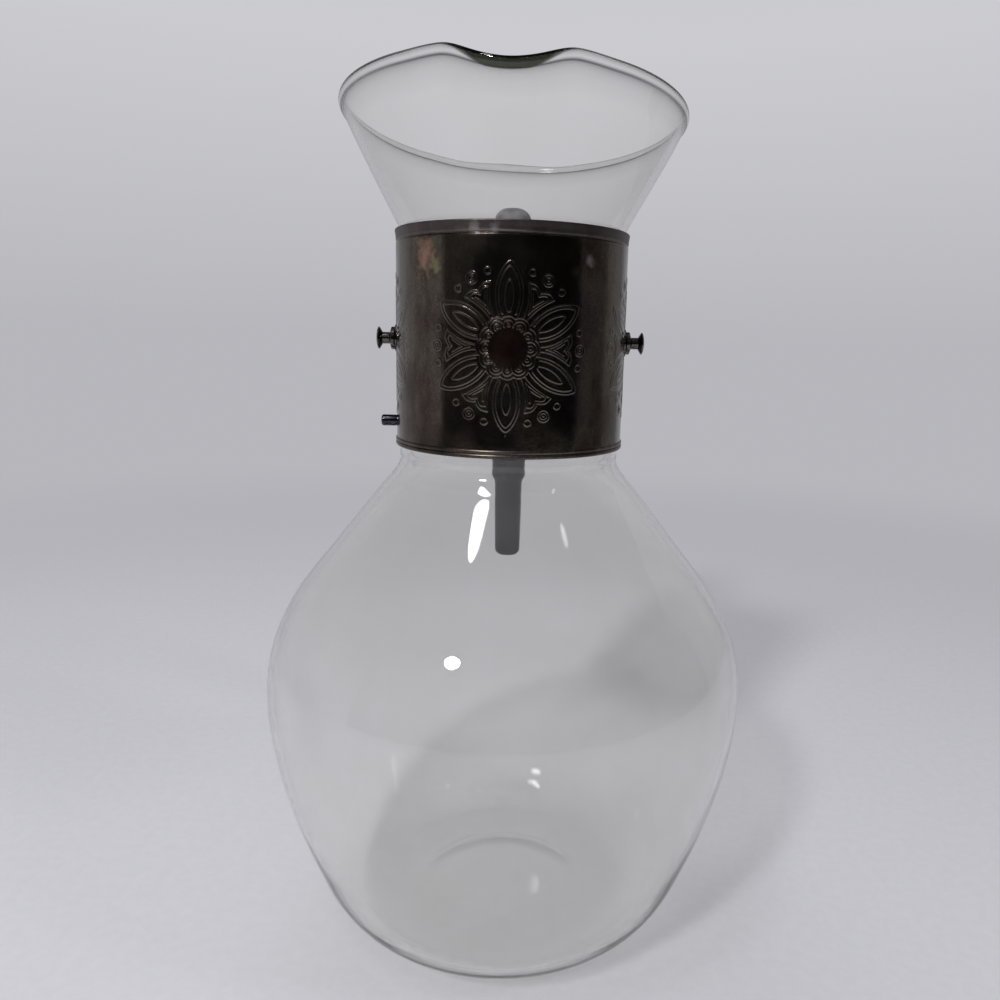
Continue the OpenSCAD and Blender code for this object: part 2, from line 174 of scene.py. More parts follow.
def store(obj, name, values):
    """Keeps one number for each point of a piece, for its material to read."""
    layer = obj.data.attributes.new(name, "FLOAT", "POINT")
    layer.data.foreach_set("value", np.array(values, np.float32))


def skin(rings, loop=False):
    """Joins rings of equal length side by side: the ends are closed, or with loop meet each other."""
    n = len(rings[0])
    points = [tuple(p) for ring in rings for p in ring]
    faces = []
    pairs = len(rings) if loop else len(rings) - 1
    for i in range(pairs):
        a, b = i * n, (i + 1) % len(rings) * n
        for j in range(n):
            k = (j + 1) % n
            faces.append((a + j, a + k, b + k, b + j))
    if not loop:
        faces.append(tuple(range(n - 1, -1, -1)))
        faces.append(tuple((len(rings) - 1) * n + j for j in range(n)))
    return points, faces


def turned(profile, steps, loop=False, warp=None):
    """A profile of radius and height turned round Z; a radius of 0 becomes one point on the axis."""
    smallest_r = 1e-9
    points, rows = [], []
    for r, z in profile:
        if r < smallest_r:
            rows.append([len(points)] * steps)
            points.append((0, 0, z))
            continue
        rows.append(list(range(len(points), len(points) + steps)))
        for j in range(steps):
            a = 2 * math.pi * j / steps
            points.append((r * math.sin(a), -r * math.cos(a), z) if warp is None else warp(r, z, a))
    faces = []
    for i in range(len(rows) if loop else len(rows) - 1):
        low, high = rows[i], rows[(i + 1) % len(rows)]
        for j in range(steps):
            k = (j + 1) % steps
            corners = dict.fromkeys((low[j], low[k], high[k], high[j]))
            if len(corners) > 2:
                faces.append(tuple(corners))
    return points, faces


def placed(points, matrix):
    return [tuple(matrix @ Vector(p)) for p in points]


def sideways(side, y, z):
    """Lays a piece turned round Z along X, to the left with side -1 and to the right with side 1."""
    return Matrix.Translation((0, y, z)) @ Matrix.Rotation(side * math.pi / 2, 4, "Y")


# %% [markdown]
# ## Camera
# The photograph was taken from close by with a wide lens, so nearer parts look clearly larger.
# The camera stands 285 mm in front of the axis and just above the trunnions, tips down 11
# degrees, and is turned and rolled by a degree or two. The focal length is written in pixels of
# a frame 1000 wide, as it was measured, and a small sideways shift puts the lens's axis where it
# lies in the photograph.

# %% Camera
camera_away, camera_z = 285.4, 209.0
pitch, yaw, roll = (math.radians(v) for v in (11.26, 1.69, 1.37))
focal_px, axis_px, frame_px = 830.6, 532.0, 1000.0
sensor_mm = 36.0

forward = Vector((math.sin(yaw) * math.cos(pitch), math.cos(yaw) * math.cos(pitch), -math.sin(pitch)))
level = Vector((math.cos(yaw), -math.sin(yaw), 0))
upright = level.cross(forward)
right = level * math.cos(roll) + upright * math.sin(roll)
above = upright * math.cos(roll) - level * math.sin(roll)

lens = bpy.data.cameras.new("camera")
lens.sensor_width = sensor_mm
lens.lens = sensor_mm * focal_px / frame_px
lens.shift_x = (frame_px / 2 - axis_px) / frame_px
lens.clip_start = 0.01
camera = in_scene("camera", lens)
turn = Matrix((right, above, -forward)).transposed().to_4x4()
camera.matrix_world = Matrix.Translation((0, -camera_away * mm, camera_z * mm)) @ turn
bpy.context.scene.camera = camera
print("lens", round(lens.lens, 2), "mm, shift", round(lens.shift_x, 3))

# %% [markdown]
# ## Node materials
# All finishes are built from nodes. One small helper adds a node, sets its plain values and
# links its inputs. The others each wrap one kind of node, so that a finish reads as a short
# recipe. Places are always in the carafe's own coordinates, so that a pattern stays put when
# the carafe is turned.

# %% Adding nodes


def add(tree, kind, inputs=None, **settings):
    """A new node; inputs are plain values or sockets of other nodes to link."""
    node = tree.nodes.new(kind)
    for key, value in settings.items():
        setattr(node, key, value)
    for key, value in (inputs or {}).items():
        if isinstance(value, bpy.types.NodeSocket):
            tree.links.new(value, node.inputs[key])
        else:
            node.inputs[key].default_value = value
    return node


def new_material(name, **values):
    """A material with one Principled shader; values are its sockets with _ for a space."""
    material = bpy.data.materials.new(name)
    material.use_nodes = True
    tree = material.node_tree
    shader = tree.nodes["Principled BSDF"]
    for key, value in values.items():
        shader.inputs[key.replace("_", " ")].default_value = value
    return material, tree, shader


def wire(tree, shader, **values):
    """Links values to a shader's sockets, named with _ for a space."""
    for key, value in values.items():
        tree.links.new(value, shader.inputs[key.replace("_", " ")])


# %% Places and patterns


def own_place(tree):
    return add(tree, "ShaderNodeTexCoord").outputs["Object"]


def own_height(tree):
    return add(tree, "ShaderNodeSeparateXYZ", {"Vector": own_place(tree)}).outputs["Z"]


def stored(tree, name):
    """A number that the mesh keeps at each of its points."""
    return add(tree, "ShaderNodeAttribute", attribute_name=name).outputs["Fac"]


def noise(tree, scale, detail=4.0, stretch=(1, 1, 1), rough=0.55):
    """Noise in blobs of about 1 / scale metres."""
    mapping = add(tree, "ShaderNodeMapping", {"Vector": own_place(tree), "Scale": stretch})
    found = add(tree, "ShaderNodeTexNoise", {
        "Vector": mapping.outputs[0], "Scale": scale, "Detail": detail, "Roughness": rough})
    return found.outputs["Fac"]


# %% Mixing


def ramp(tree, value, stops):
    """A colour ramp; stops are pairs of place and colour."""
    made = add(tree, "ShaderNodeValToRGB", {"Fac": value})
    band = made.color_ramp
    while len(band.elements) < len(stops):
        band.elements.new(0.5)
    for element, (place, colour) in zip(band.elements, stops):
        element.position = place
        element.color = (*colour, 1)
    return made.outputs["Color"]


def blend(tree, share, a, b, mode="MIX"):
    """One colour or another, by a share from 0 to 1."""
    made = add(tree, "ShaderNodeMix", data_type="RGBA", blend_type=mode)
    for socket, value in ((made.inputs[0], share), (made.inputs[6], a), (made.inputs[7], b)):
        if isinstance(value, bpy.types.NodeSocket):
            tree.links.new(value, socket)
        else:
            socket.default_value = value
    return made.outputs[2]


def span(tree, value, low, high, to_low, to_high, kind="LINEAR"):
    """Maps a value from one range to another, and holds it at the ends."""
    made = add(tree, "ShaderNodeMapRange", {
        "Value": value, "From Min": low, "From Max": high, "To Min": to_low, "To Max": to_high},
        interpolation_type=kind)
    return made.outputs[0]


def maths(tree, operation, *values, clamped=False):
    made = add(tree, "ShaderNodeMath", dict(enumerate(values)), operation=operation, use_clamp=clamped)
    return made.outputs[0]


def point_maths(tree, operation, *values, out="Vector"):
    return add(tree, "ShaderNodeVectorMath", dict(enumerate(values)), operation=operation).outputs[out]


def mixed(tree, share, a, b):
    """One shader or another, by a share from 0 to 1."""
    return add(tree, "ShaderNodeMixShader", {0: share, 1: a.outputs[0], 2: b.outputs[0]})


def bump(tree, height, distance, strength=1.0):
    return add(tree, "ShaderNodeBump", {
        "Height": height, "Distance": distance, "Strength": strength}).outputs[0]


# %% [markdown]
# ## Floor and surround
# A plain pale floor and a pale surround carry the soft studio light. The floor fades into the
# horizon's colour, so that no line shows where it ends. The surround is one colour ramp by
# height for each kind of ray: an even backing for the camera, light at eye level and darker
# overhead for what is seen through glass, and nearly dark overhead for mirror-like surfaces.
# That draws the thin dark lines along the edges of clear glass and keeps the old metal dark.

# %% Floor
floor_half = 3.0
fade_from, fade_to = 0.3, 1.1
pale, horizon = (0.6, 0.6, 0.63), (0.47, 0.47, 0.5)
floor_mesh = bpy.data.meshes.new("floor")
floor_corners = [(x * floor_half, y * floor_half, 0) for x, y in ((-1, -1), (1, -1), (1, 1), (-1, 1))]
floor_mesh.from_pydata(floor_corners, [], [(0, 1, 2, 3)])
in_scene("floor", floor_mesh)
floor_material, tree, shader = new_material("pale_floor", Roughness=1.0, Specular_IOR_Level=0.0)
grain = span(tree, noise(tree, 240, 3), 0.3, 0.7, 0.98, 1.02)
wire(tree, shader, Base_Color=blend(tree, 1.0, (*pale, 1), grain, "MULTIPLY"))
distance = point_maths(tree, "LENGTH", own_place(tree), out="Value")
far = span(tree, distance, fade_from, fade_to, 0.0, 1.0, "SMOOTHSTEP")
lighting = add(tree, "ShaderNodeLightPath").outputs["Is Diffuse Ray"]
haze = add(tree, "ShaderNodeEmission", {"Color": (*horizon, 1)})
surface = mixed(tree, maths(tree, "SUBTRACT", far, lighting, clamped=True), shader, haze)
wire(tree, tree.nodes["Material Output"], Surface=surface.outputs[0])
floor_mesh.materials.append(floor_material)
print("floor", 2 * floor_half, "m wide, fades from", fade_from, "to", fade_to, "m")

# %% Surround
world = bpy.data.worlds.new("surround")
bpy.context.scene.world = world
world.use_nodes = True
tree = world.node_tree
tree.nodes.clear()
look = add(tree, "ShaderNodeTexCoord")
height = add(tree, "ShaderNodeSeparateXYZ", {"Vector": look.outputs["Generated"]}).outputs["Z"]
ray = add(tree, "ShaderNodeLightPath").outputs
mirrored_sky = ramp(tree, height, [(0.0, horizon), (0.15, (0.4, 0.4, 0.42)), (0.5, (0.07, 0.07, 0.075))])
lighting_sky = ramp(tree, height, [(0.0, horizon), (0.4, pale), (0.8, (0.2, 0.2, 0.21))])
through_glass = ramp(tree, height, [(0.0, horizon), (0.3, pale), (0.45, pale), (0.7, (0.38, 0.38, 0.4))])
backing = ramp(tree, height, [(0.0, horizon), (0.3, pale), (1.0, (0.5, 0.5, 0.53))])
sky = blend(tree, ray["Is Diffuse Ray"], mirrored_sky, lighting_sky)
sky = blend(tree, ray["Is Transmission Ray"], sky, through_glass)
sky = blend(tree, ray["Is Camera Ray"], sky, backing)
glow = add(tree, "ShaderNodeBackground", {"Color": sky, "Strength": 1.0})
add(tree, "ShaderNodeOutputWorld", {"Surface": glow.outputs[0]})
print("surround:", len(tree.nodes), "nodes")

# %% [markdown]
# ## Lamps and screens
# Glass and old metal show the lamps themselves, so each lamp that they mirror stands where its
# reflection falls on the right spot: the key lamp makes the round glint on the belly, the tall
# oval strip the long streak on the shoulder, and the small one the thin line right of it. A
# fill from the right and a broad top lamp only soften the shadows and aren't mirrored. Curved
# dark cards, which nothing but mirror-like surfaces can see, give the collar its dark front and
# its lighter sides.

# %% Lamps
lamp_aim = (0, 0, 0.15)


def softbox(name, place, size, watts, mirrored=True, tall=1.0):
    """A round or tall oval lamp, in metres; mirrored ones show in glass and metal."""
    lamp = bpy.data.lights.new(name, "AREA")
    lamp.shape = "ELLIPSE"
    lamp.size = size
    lamp.size_y = size * tall
    lamp.energy = watts
    obj = in_scene(name, lamp)
    obj.location = place
    obj.rotation_mode = "QUATERNION"
    obj.rotation_quaternion = (Vector(lamp_aim) - Vector(place)).to_track_quat("-Z", "Y")
    obj.visible_glossy = mirrored
    obj.visible_transmission = mirrored
    print("lamp", name, "of", watts, "W")


softbox("key", (-0.433, -0.778, 0.852), 0.13, 7)
softbox("fill", (1.0, -0.5, 1.0), 0.25, 2.4, mirrored=False)
softbox("top", (-0.3, 0.5, 1.4), 0.9, 4, mirrored=False)
softbox("strip", (-0.322, -0.438, 1.163), 0.17, 1.8, tall=1.5)
softbox("glint", (0.611, -0.342, 1.062), 0.05, 0.028)

# %% Dark screens
screen_r, screen_h, screen_steps = 0.95, 0.6, 24


def screen(name, start, end, tone):
    """A standing curved card round the carafe; its bearings run from the front to the right."""
    points, faces = [], []
    for i in range(screen_steps + 1):
        a = math.radians(mix(start, end, i / screen_steps))
        points += [(screen_r * math.sin(a), -screen_r * math.cos(a), z) for z in (0.0, screen_h)]
    for i in range(screen_steps):
        faces.append((2 * i, 2 * i + 1, 2 * i + 3, 2 * i + 2))
    mesh = bpy.data.meshes.new(name)
    mesh.from_pydata(points, [], faces)
    card = in_scene(name, mesh)
    for kind in ("camera", "diffuse", "transmission", "shadow", "volume_scatter"):
        setattr(card, "visible_" + kind, False)
    mesh.materials.append(new_material("dark_felt", Roughness=1.0, Base_Color=(tone, tone, tone, 1))[0])


for place, start, end, tone in (
        ("left", -68, -35, 0.09), ("middle", -35, 13, 0.025), ("right", 13, 68, 0.006),
        ("far_right", 68, 104, 0.17), ("side", 104, 138, 0.42)):
    screen(f"screen_{place}", start, end, tone)
    print("screen", place, "from", start, "to", end, "degrees")

# %% [markdown]
# ## The blown vessel
# The vessel is one thin wall of glass. Its outline is one smooth curve from the foot over the
# belly, in through the collar and out to the mouth. The inside follows it at the wall's
# thickness, and the two are turned together round the axis. Glass only looks right as a closed
# wall with both its faces, because light bends at each. The mouth is then warped: the rim
# rises towards the lip, and the lip is drawn outwards and down between two low flanks.
#
# Clear glass has hardly any colour, except where it is seen along its length: the lip looks
# dark olive. The rim's bead has two grey lines, and these are painted shade: a dark tint stands
# in for the dark surround that the bent light would show there. The mesh stores where the lip
# and these lines are. The lip and the bead's edges get a tint, and the bead's crown lets a part
# of the light straight through, so that its line is grey and not black. Light that only passes
# through on its way to another surface isn't bent at all, which keeps the shadow soft and free
# of bright specks.

# %% Outline of the glass
glass_wall, base_wall = 2.0, 2.6
waist_r, seat_gap = 28.6, 1.4
mouth_rise, mouth_r, mouth_drop = 35.9, 54.9, 0.15
rim_slope, rim_lean, rim_wall, rim_h = 4.9, 1.1, 2.5, 3.4
seat_r = collar_r - seat_gap
mouth_h = collar_top_h + mouth_rise - mouth_drop
waist_h = shoulder_h + collar_h / 2
body_shares = [
    (0.411, 0), (0.556, 0.012), (0.688, 0.05), (0.777, 0.104), (0.851, 0.188), (0.92, 0.285),
    (0.974, 0.39), (1, 0.497), (0.979, 0.595), (0.886, 0.695), (0.704, 0.808), (0.533, 0.912),
    (0.4755, 0.9448), (0.4475, 0.969)]
neck_shares = [(1, -1), (0.36, -0.6), (0, 0), (0.33, 0.6), (1, 1)]
flare_shares = [(0.46, 0.46), (1, 1)]
glass_knots = [(r * body_r, z * shoulder_h) for r, z in body_shares]
glass_knots += [(mix(waist_r, seat_r, r), waist_h + z * collar_h / 2) for r, z in neck_shares]
glass_knots += [
    (mix(seat_r, mouth_r, r), mix(collar_top_h, mouth_h - rim_h / 2, z)) for r, z in flare_shares]
span_steps = 10
heel_spans = 5
outside = spline(glass_knots, span_steps)
along = directions(outside)
walls = mix(base_wall, glass_wall, ease(np.arange(len(outside)) / (heel_spans * span_steps)))
inside = outside + walls[:, None] * np.stack([-along[:, 1], along[:, 0]], 1)
print("outline points:", len(outside), "wall", walls[0], "to", walls[-1], "mm")

# %% Mouth and lip
lip_half, lip_h, lip_turn = math.radians(21), 24.0, math.radians(-2)
lip_dip, lip_push, lip_flank, flank_at, flank_wide = 4.4, 3.4, 0.6, 0.95, 0.6


def mouth_point(r, z, a):
    """A point of the turned glass, with the rim's slope and the drawn lip."""
    side = math.remainder(a - lip_turn, 2 * math.pi)
    slope = ease((z - collar_top_h) / mouth_rise)
    lip = ease((z - (mouth_h - lip_h)) / lip_h)
    middle_share = dome(side, lip_half)
    flank_share = dome(abs(side) - lip_half * flank_at, lip_half * flank_wide)
    r = r + lip * (lip_push * middle_share - lip_flank * flank_share)
    z = z + slope * (rim_slope * math.cos(a) - rim_lean * math.sin(a))
    z = z + lip * (lip_flank * flank_share - lip_dip * middle_share)
    return (r * math.sin(a), -r * math.cos(a), z)


# %% Glass
glass, tree, shader = new_material("blown_glass", Roughness=0.0, IOR=1.47, Transmission_Weight=1.0)
tint = blend(tree, span(tree, noise(tree, 26, 4), 0.3, 0.7, 0.0, 1.0),
             (0.935, 0.93, 0.915, 1), (0.968, 0.968, 0.962, 1))
# Painted shade: a dark tint draws the two grey lines along the rim's bead.
tint = blend(tree, stored(tree, "painted_rim_shade"), tint, (0.08, 0.08, 0.087, 1))
tint = blend(tree, stored(tree, "drawn_lip"), tint, (0.05, 0.054, 0.036, 1))
wire(tree, shader, Base_Color=tint)
facing = add(tree, "ShaderNodeLayerWeight", {"Blend": 0.35}).outputs["Facing"]
shade = blend(tree, facing, (0.975, 0.975, 0.97, 1), (0.72, 0.72, 0.71, 1))
clear = add(tree, "ShaderNodeBsdfTransparent", {"Color": shade})
ray = add(tree, "ShaderNodeLightPath").outputs
surface = mixed(tree, stored(tree, "rim_crown"), shader, clear)
surface = mixed(tree, ray["Is Diffuse Ray"], surface, clear)
surface = mixed(tree, ray["Is Shadow Ray"], surface, clear)
wire(tree, tree.nodes["Material Output"], Surface=surface.outputs[0])
print("glass:", len(tree.nodes), "nodes")

# %% Profile with the rim's bead
points_under_bead, bead_start, bead_end, bead_steps = 4, -40, 220, 52
last_wall = len(outside) - points_under_bead
outwards = np.array([along[-1, 1], -along[-1, 0]])
rim_middle = np.array([mouth_r, mouth_h - rim_h / 2]) - outwards * rim_wall / 2
rim_arc = [
    tuple(rim_middle + u * outwards + v * along[-1])
    for u, v in arc((0, 0), rim_wall / 2, rim_h / 2, bead_start, bead_end, bead_steps)]
foot_r, punt, punt_slope = outside[0][0], 0.6, 0.3
foot = [(foot_r * s, punt * ease((1 - s) / punt_slope)) for s in np.linspace(0, 0.97, 16)]
steps_in = (0.3, 0.55, 0.75, 0.88, 0.96)
outer_run = [tuple(mix(outside[last_wall - 1], np.array(rim_arc[0]), t)) for t in steps_in]
inner_run = [tuple(mix(inside[last_wall - 1], np.array(rim_arc[-1]), t)) for t in steps_in[::-1]]
profile = [
    *foot, *outside[:last_wall], *outer_run, *rim_arc, *inner_run, *inside[last_wall - 1:0:-1],
    (0, base_wall)]
print("profile:", len(profile), "points,", len(rim_arc), "of them on the bead")

# %% The vessel
glass_steps = 400
points, faces = turned(profile, glass_steps, warp=mouth_point)
vessel = piece("blown_vessel", points, faces, glass, ["glass_vessel"], sharp=60)

# %% Lip and bead for the tints: the lip's colour and the bead's painted shade
first_bead, last_arc = len(foot) + last_wall + len(outer_run), len(rim_arc) - 1
lip_wide, lip_narrow, lip_taper, lip_edge = 0.95, 0.32, 1.4, 4
outer_row, outer_width = 2, 4.6
inner_row, inner_width, inner_share = last_arc - 1.5, 3, 0.45
crown_at, crown_width, crown_share = 0.55, 0.17, 0.62
drawn, edges, crown = np.zeros((3, len(points)))
for j in range(-len(outer_run), last_arc + len(inner_run) + 1):
    start = 1 + (first_bead + j - 1) * glass_steps
    row = slice(start, start + glass_steps)
    x, y = np.array(points[row])[:, :2].T
    from_top = min(1, abs(j / last_arc - 0.5) * 2)
    half = lip_half * mix(lip_wide, lip_narrow, from_top ** lip_taper)
    if 0 <= j <= last_arc:
        drawn[row] = np.clip((1 - ((np.arctan2(x, -y) - lip_turn) / half) ** 2) * lip_edge, 0, 1)
    # Painted shade: the rows of the bead where its two dark lines are tinted in.
    edges[row] = max(bell(j, outer_row, outer_width), inner_share * bell(j, inner_row, inner_width))
    crown[row] = crown_share * bell(j / last_arc, crown_at, crown_width)
store(vessel, "drawn_lip", drawn)
store(vessel, "painted_rim_shade", edges)
store(vessel, "rim_crown", crown * (1 - drawn))
print("points on the dark lip:", int((drawn > 0).sum()))

# %% [markdown]
# ## The chased rosette
# The collar carries a traditional six-petalled rosette, struck into the sheet: a plain boss
# ringed with little scallops, six pointed petals with a vein, a fishtail between each two
# petals and three small rings outside each fishtail. It is drawn here as plain lines in the
# sheet's own plane, in millimetres from the rosette's middle, one sixth at a time. The collar's
# mesh is then raised wherever it lies near a line.

# %% Lines of one sixth
petal_root, petal_tip, petal_half, petal_power = 6.0, 25.4, 4.15, 0.75
rosette_scale, rosette_turn = 0.975, 0.9
boss_r, scallop_r, small_scallop, large_scallop, scallop_gap = 6.1, 6.8, 2.6, 3.0, 0.08


def petal_side(root, tip, half, start, side):
    """One side of a pointed petal, from start out to its tip."""
    s = np.linspace(start, tip, 120)
    u = np.clip((s - root) / (tip - root), 0, 1)
    return np.stack([side * half * (4 * u * (1 - u)) ** petal_power, s], 1)


def ring(x, y, r, start=0.0, end=360.0):
    a = np.radians(np.linspace(start, end, max(8, int(r * 60))))
    return np.stack([x + r * np.cos(a), y + r * np.sin(a)], 1)


def turned_by(line, degrees):
    """A line turned clockwise about the rosette's middle."""
    a = math.radians(degrees)
    return line @ np.array([[math.cos(a), -math.sin(a)], [math.sin(a), math.cos(a)]])


def petal_lines():
    """An outline, a second line inside it and a vein."""
    # Root, tip, half width and where the line starts.
    shapes = (
        (petal_root, petal_tip, petal_half, 9.2),
        (petal_root + 1.4, petal_tip - 1.5, petal_half - 0.95, 10.0),
        (10.4, 20.0, 1.35, 10.7))
    return [petal_side(*shape, side) for side in (-1, 1) for shape in shapes]


def fishtail_lines():
    """A fan between two petals: two curved sides, a notched end and nested points inside it."""
    lines = []
    # Foot, tip, half width at the foot, widening, its power and the steps of each curved side.
    sides = ((10.0, 19.55, 0.7, 3.96, 1.8, 110), (11.6, 18.5, 0.05, 3.2, 1.5, 90))
    outer_end, inner_end, point = (
        [(4.66, 19.55), (2.6, 20.1), (0.9, 19.5), (0, 18.7)],
        [(3.25, 18.5), (2.1, 19.1), (0.8, 18.5), (0, 17.7)],
        [(0, 14.2), (0.8, 15.9), (1.9, 17.6)])
    for side in (-1, 1):
        for foot, tip, start, widen, power, steps in sides:
            s = np.linspace(foot, tip, steps)
            u = (s - foot) / (tip - foot)
            lines.append(np.stack([side * (start + widen * u ** power), s], 1))
        for knots, steps in ((outer_end, 22), (inner_end, 20), (point, 30)):
            lines.append(spline(knots, steps) * (side, 1))
    return lines


def dot_lines():
    """Three rings outside each fishtail: a double one with a dot, between two single ones."""
    reach = 23.3
    lines = [ring(0, reach, r) for r in (1.75, 0.95, 0.15)]
    return lines + [turned_by(ring(0, reach, 0.98), degrees) for degrees in (-13.2, 13.2)]


def scallop_lines():
    """The ring of scallops round the boss: a small one on each petal, a large one between."""
    lines = []
    for degrees, sizes in ((0, (0.45, 1.45, small_scallop)), (30, (0.3, 0.95, 2.0, large_scallop))):
        for size in sizes:
            circle = ring(0, scallop_r, size)
            away = np.hypot(circle[:, 0], circle[:, 1])
            lines.append(turned_by(circle[away > boss_r + 0.1], degrees))
    return lines


def outside_scallops(lines):
    """Drops what lies inside a neighbouring scallop, so that they overlap like petals."""
    kept = []
    middles = [(30 * i, large_scallop if i % 2 else small_scallop) for i in range(12)]
    for line in lines:
        keep = np.ones(len(line), bool)
        for degrees, size in middles:
            x, y = turned_by(np.array([[0, scallop_r]]), degrees)[0]
            gap = np.hypot(line[:, 0] - x, line[:, 1] - y)
            keep &= (gap > size - scallop_gap)
        kept.append(line[keep])
    return kept


# %% The whole rosette
sixth_drawn = petal_lines() + [turned_by(line, 30) for line in fishtail_lines() + dot_lines()]
outlines, inner_scallops = [], []
for line in scallop_lines():
    reach = np.hypot(line[:, 0], line[:, 1]).max()
    (outlines if reach > scallop_r + small_scallop - 0.1 else inner_scallops).append(line)
all_lines = []
for k in range(6):
    all_lines += [turned_by(line, 60 * k) for line in sixth_drawn + inner_scallops]
    all_lines += outside_scallops([turned_by(line, 60 * k) for line in outlines])
chased = turned_by(np.vstack(all_lines), rosette_turn) * rosette_scale
rosette_d = 2 * petal_tip * rosette_scale
print("points along the chased lines:", len(chased), "rosette across", round(rosette_d, 1), "mm")

# %% Relief of the rosette
line_h, line_w, swell_h, boss_h, swell_from, swell_run = 0.13, 0.17, 0.1, 0.06, 9.0, 1.5
rosette_half = 26.0
fine_step = 0.2
local = np.arange(-rosette_half, rosette_half + fine_step / 2, fine_step)
tree_of_lines = kdtree.KDTree(len(chased))
for i, p in enumerate(chased):
    tree_of_lines.insert((*p, 0), i)
tree_of_lines.balance()
away = np.array([[tree_of_lines.find((x, y, 0))[2] for y in local] for x in local])
ridge = bell(away, 0, line_w)
grid_x, grid_y = np.meshgrid(local, local, indexing="ij")
from_middle = np.hypot(grid_x, grid_y) / rosette_scale
bearing = np.degrees(np.arctan2(grid_x, grid_y)) - rosette_turn
in_sixth = np.radians((bearing + 30) % 60 - 30)
petal_s, petal_w = from_middle * np.cos(in_sixth), np.abs(from_middle * np.sin(in_sixth))
petal_u = np.clip((petal_s - petal_root) / (petal_tip - petal_root), 0, 1)
petal_edge = petal_half * (4 * petal_u * (1 - petal_u)) ** petal_power
swell = swell_h * np.clip(1 - (petal_w / np.maximum(petal_edge, 0.01)) ** 2, 0, 1)
boss = boss_h * np.clip(1 - (from_middle / boss_r) ** 2, 0, 1)
relief = line_h * ridge + swell * ease((petal_s - swell_from) / swell_run) + boss
print("relief grid", relief.shape, "highest", round(relief.max(), 2), "mm")

# %% [markdown]
# ## Tarnished plate
# Silver plate over brass goes brown and black, with coppery and greenish clouds, and stays
# brighter only where hands and cloths reach: along ridges, beads and edges. Clouds of noise
# choose between the tarnish colours, a stretched noise makes faint upright wipe marks, and a
# value stored on the mesh brings the bright metal through on the high lines. The same value also
# holds painted glints: a bright line along the collar's crease, and brighter rims on the spools
# and on the stop pin's end, partly wear and partly painted highlight. A few single stains sit at
# fixed points of the sheet, each a little higher than wide, with a ragged edge.

# %% Tarnished metals


def stain(tree, middle_mm, size_mm):
    """A ragged upright spot: strongest round its middle, and 0 beyond its size."""
    size, upright = size_mm * mm, (1, 1, 0.8)
    offset = point_maths(tree, "SUBTRACT", own_place(tree), tuple(v * mm for v in middle_mm))
    offset = point_maths(tree, "MULTIPLY", offset, upright)
    ragged = span(tree, noise(tree, 420, 5), 0.25, 0.75, 0.5 * size, -0.5 * size)
    edge = maths(tree, "ADD", point_maths(tree, "LENGTH", offset, out="Value"), ragged)
    return span(tree, edge, 0.2 * size, size, 0.75, 0.0)


def tarnished(name, colours, wear_and_glint_colour, rough=(0.26, 0.5), clouds=38.0, stains=(), uneven=0.35,
              trim=None):
    """Old plate: cloudy tarnish, brighter where the mesh's stored value says: wear, and on some
    edges a painted glint. trim gives the heights in mm between which the sheet is chased: below
    and above it is duller, and above it is dusty too."""
    made, tree, shader = new_material(name, Metallic=1.0, Specular_IOR_Level=0.5)
    # Clouds of five colours, darker and lighter wipe marks, fine grain and pale specks.
    cloud = noise(tree, clouds, 7, (1, 1, 0.55), 0.62)
    base = ramp(tree, cloud, list(zip((0.3, 0.43, 0.53, 0.62, 0.72), colours)))
    wipe = span(tree, noise(tree, 150, 3, (1, 1, 0.06)), 0.35, 0.68, 0.85, 1.15)
    base = blend(tree, 1.0, base, wipe, "MULTIPLY")
    grain = span(tree, noise(tree, 2200, 2), 0.3, 0.7, 0.7, 1.35)
    base = blend(tree, 1.0, base, grain, "MULTIPLY")
    speck = span(tree, noise(tree, 900, 4), 0.62, 0.72, 0.0, 0.35)
    base = blend(tree, speck, base, (0.2, 0.16, 0.13, 1))
    for middle_mm, size_mm, colour in stains:
        base = blend(tree, stain(tree, middle_mm, size_mm), base, colour)
    dull = span(tree, noise(tree, 75, 6), 0.3, 0.7, *rough)
    if trim:
        low_mm, high_mm, dusty = trim
        height = own_height(tree)
        above = span(tree, height, high_mm * mm, (high_mm + 0.3) * mm, 0.0, 0.5)
        below = span(tree, height, (low_mm - 0.3) * mm, low_mm * mm, 0.35, 0.0)
        base = blend(tree, above, base, dusty)
        dull = maths(tree, "MULTIPLY_ADD", maths(tree, "ADD", above, below), 0.5, dull)
    patchy = span(tree, noise(tree, 120, 4), 0.35, 0.65, 0.15, 0.9)
    # The stored value: wear on ridges, beads and edges, and painted glints on the crease, the spool rims
    # and the pin's end.
    share = maths(tree, "MULTIPLY", stored(tree, "wear_and_glint"), patchy)
    wire(tree, shader, Base_Color=blend(tree, share, base, wear_and_glint_colour),
         Roughness=maths(tree, "MULTIPLY_ADD", share, 0.1, dull),
         Normal=bump(tree, noise(tree, 700, 5), 0.00012, uneven))
    print(name, "has", len(tree.nodes), "nodes")
    return made


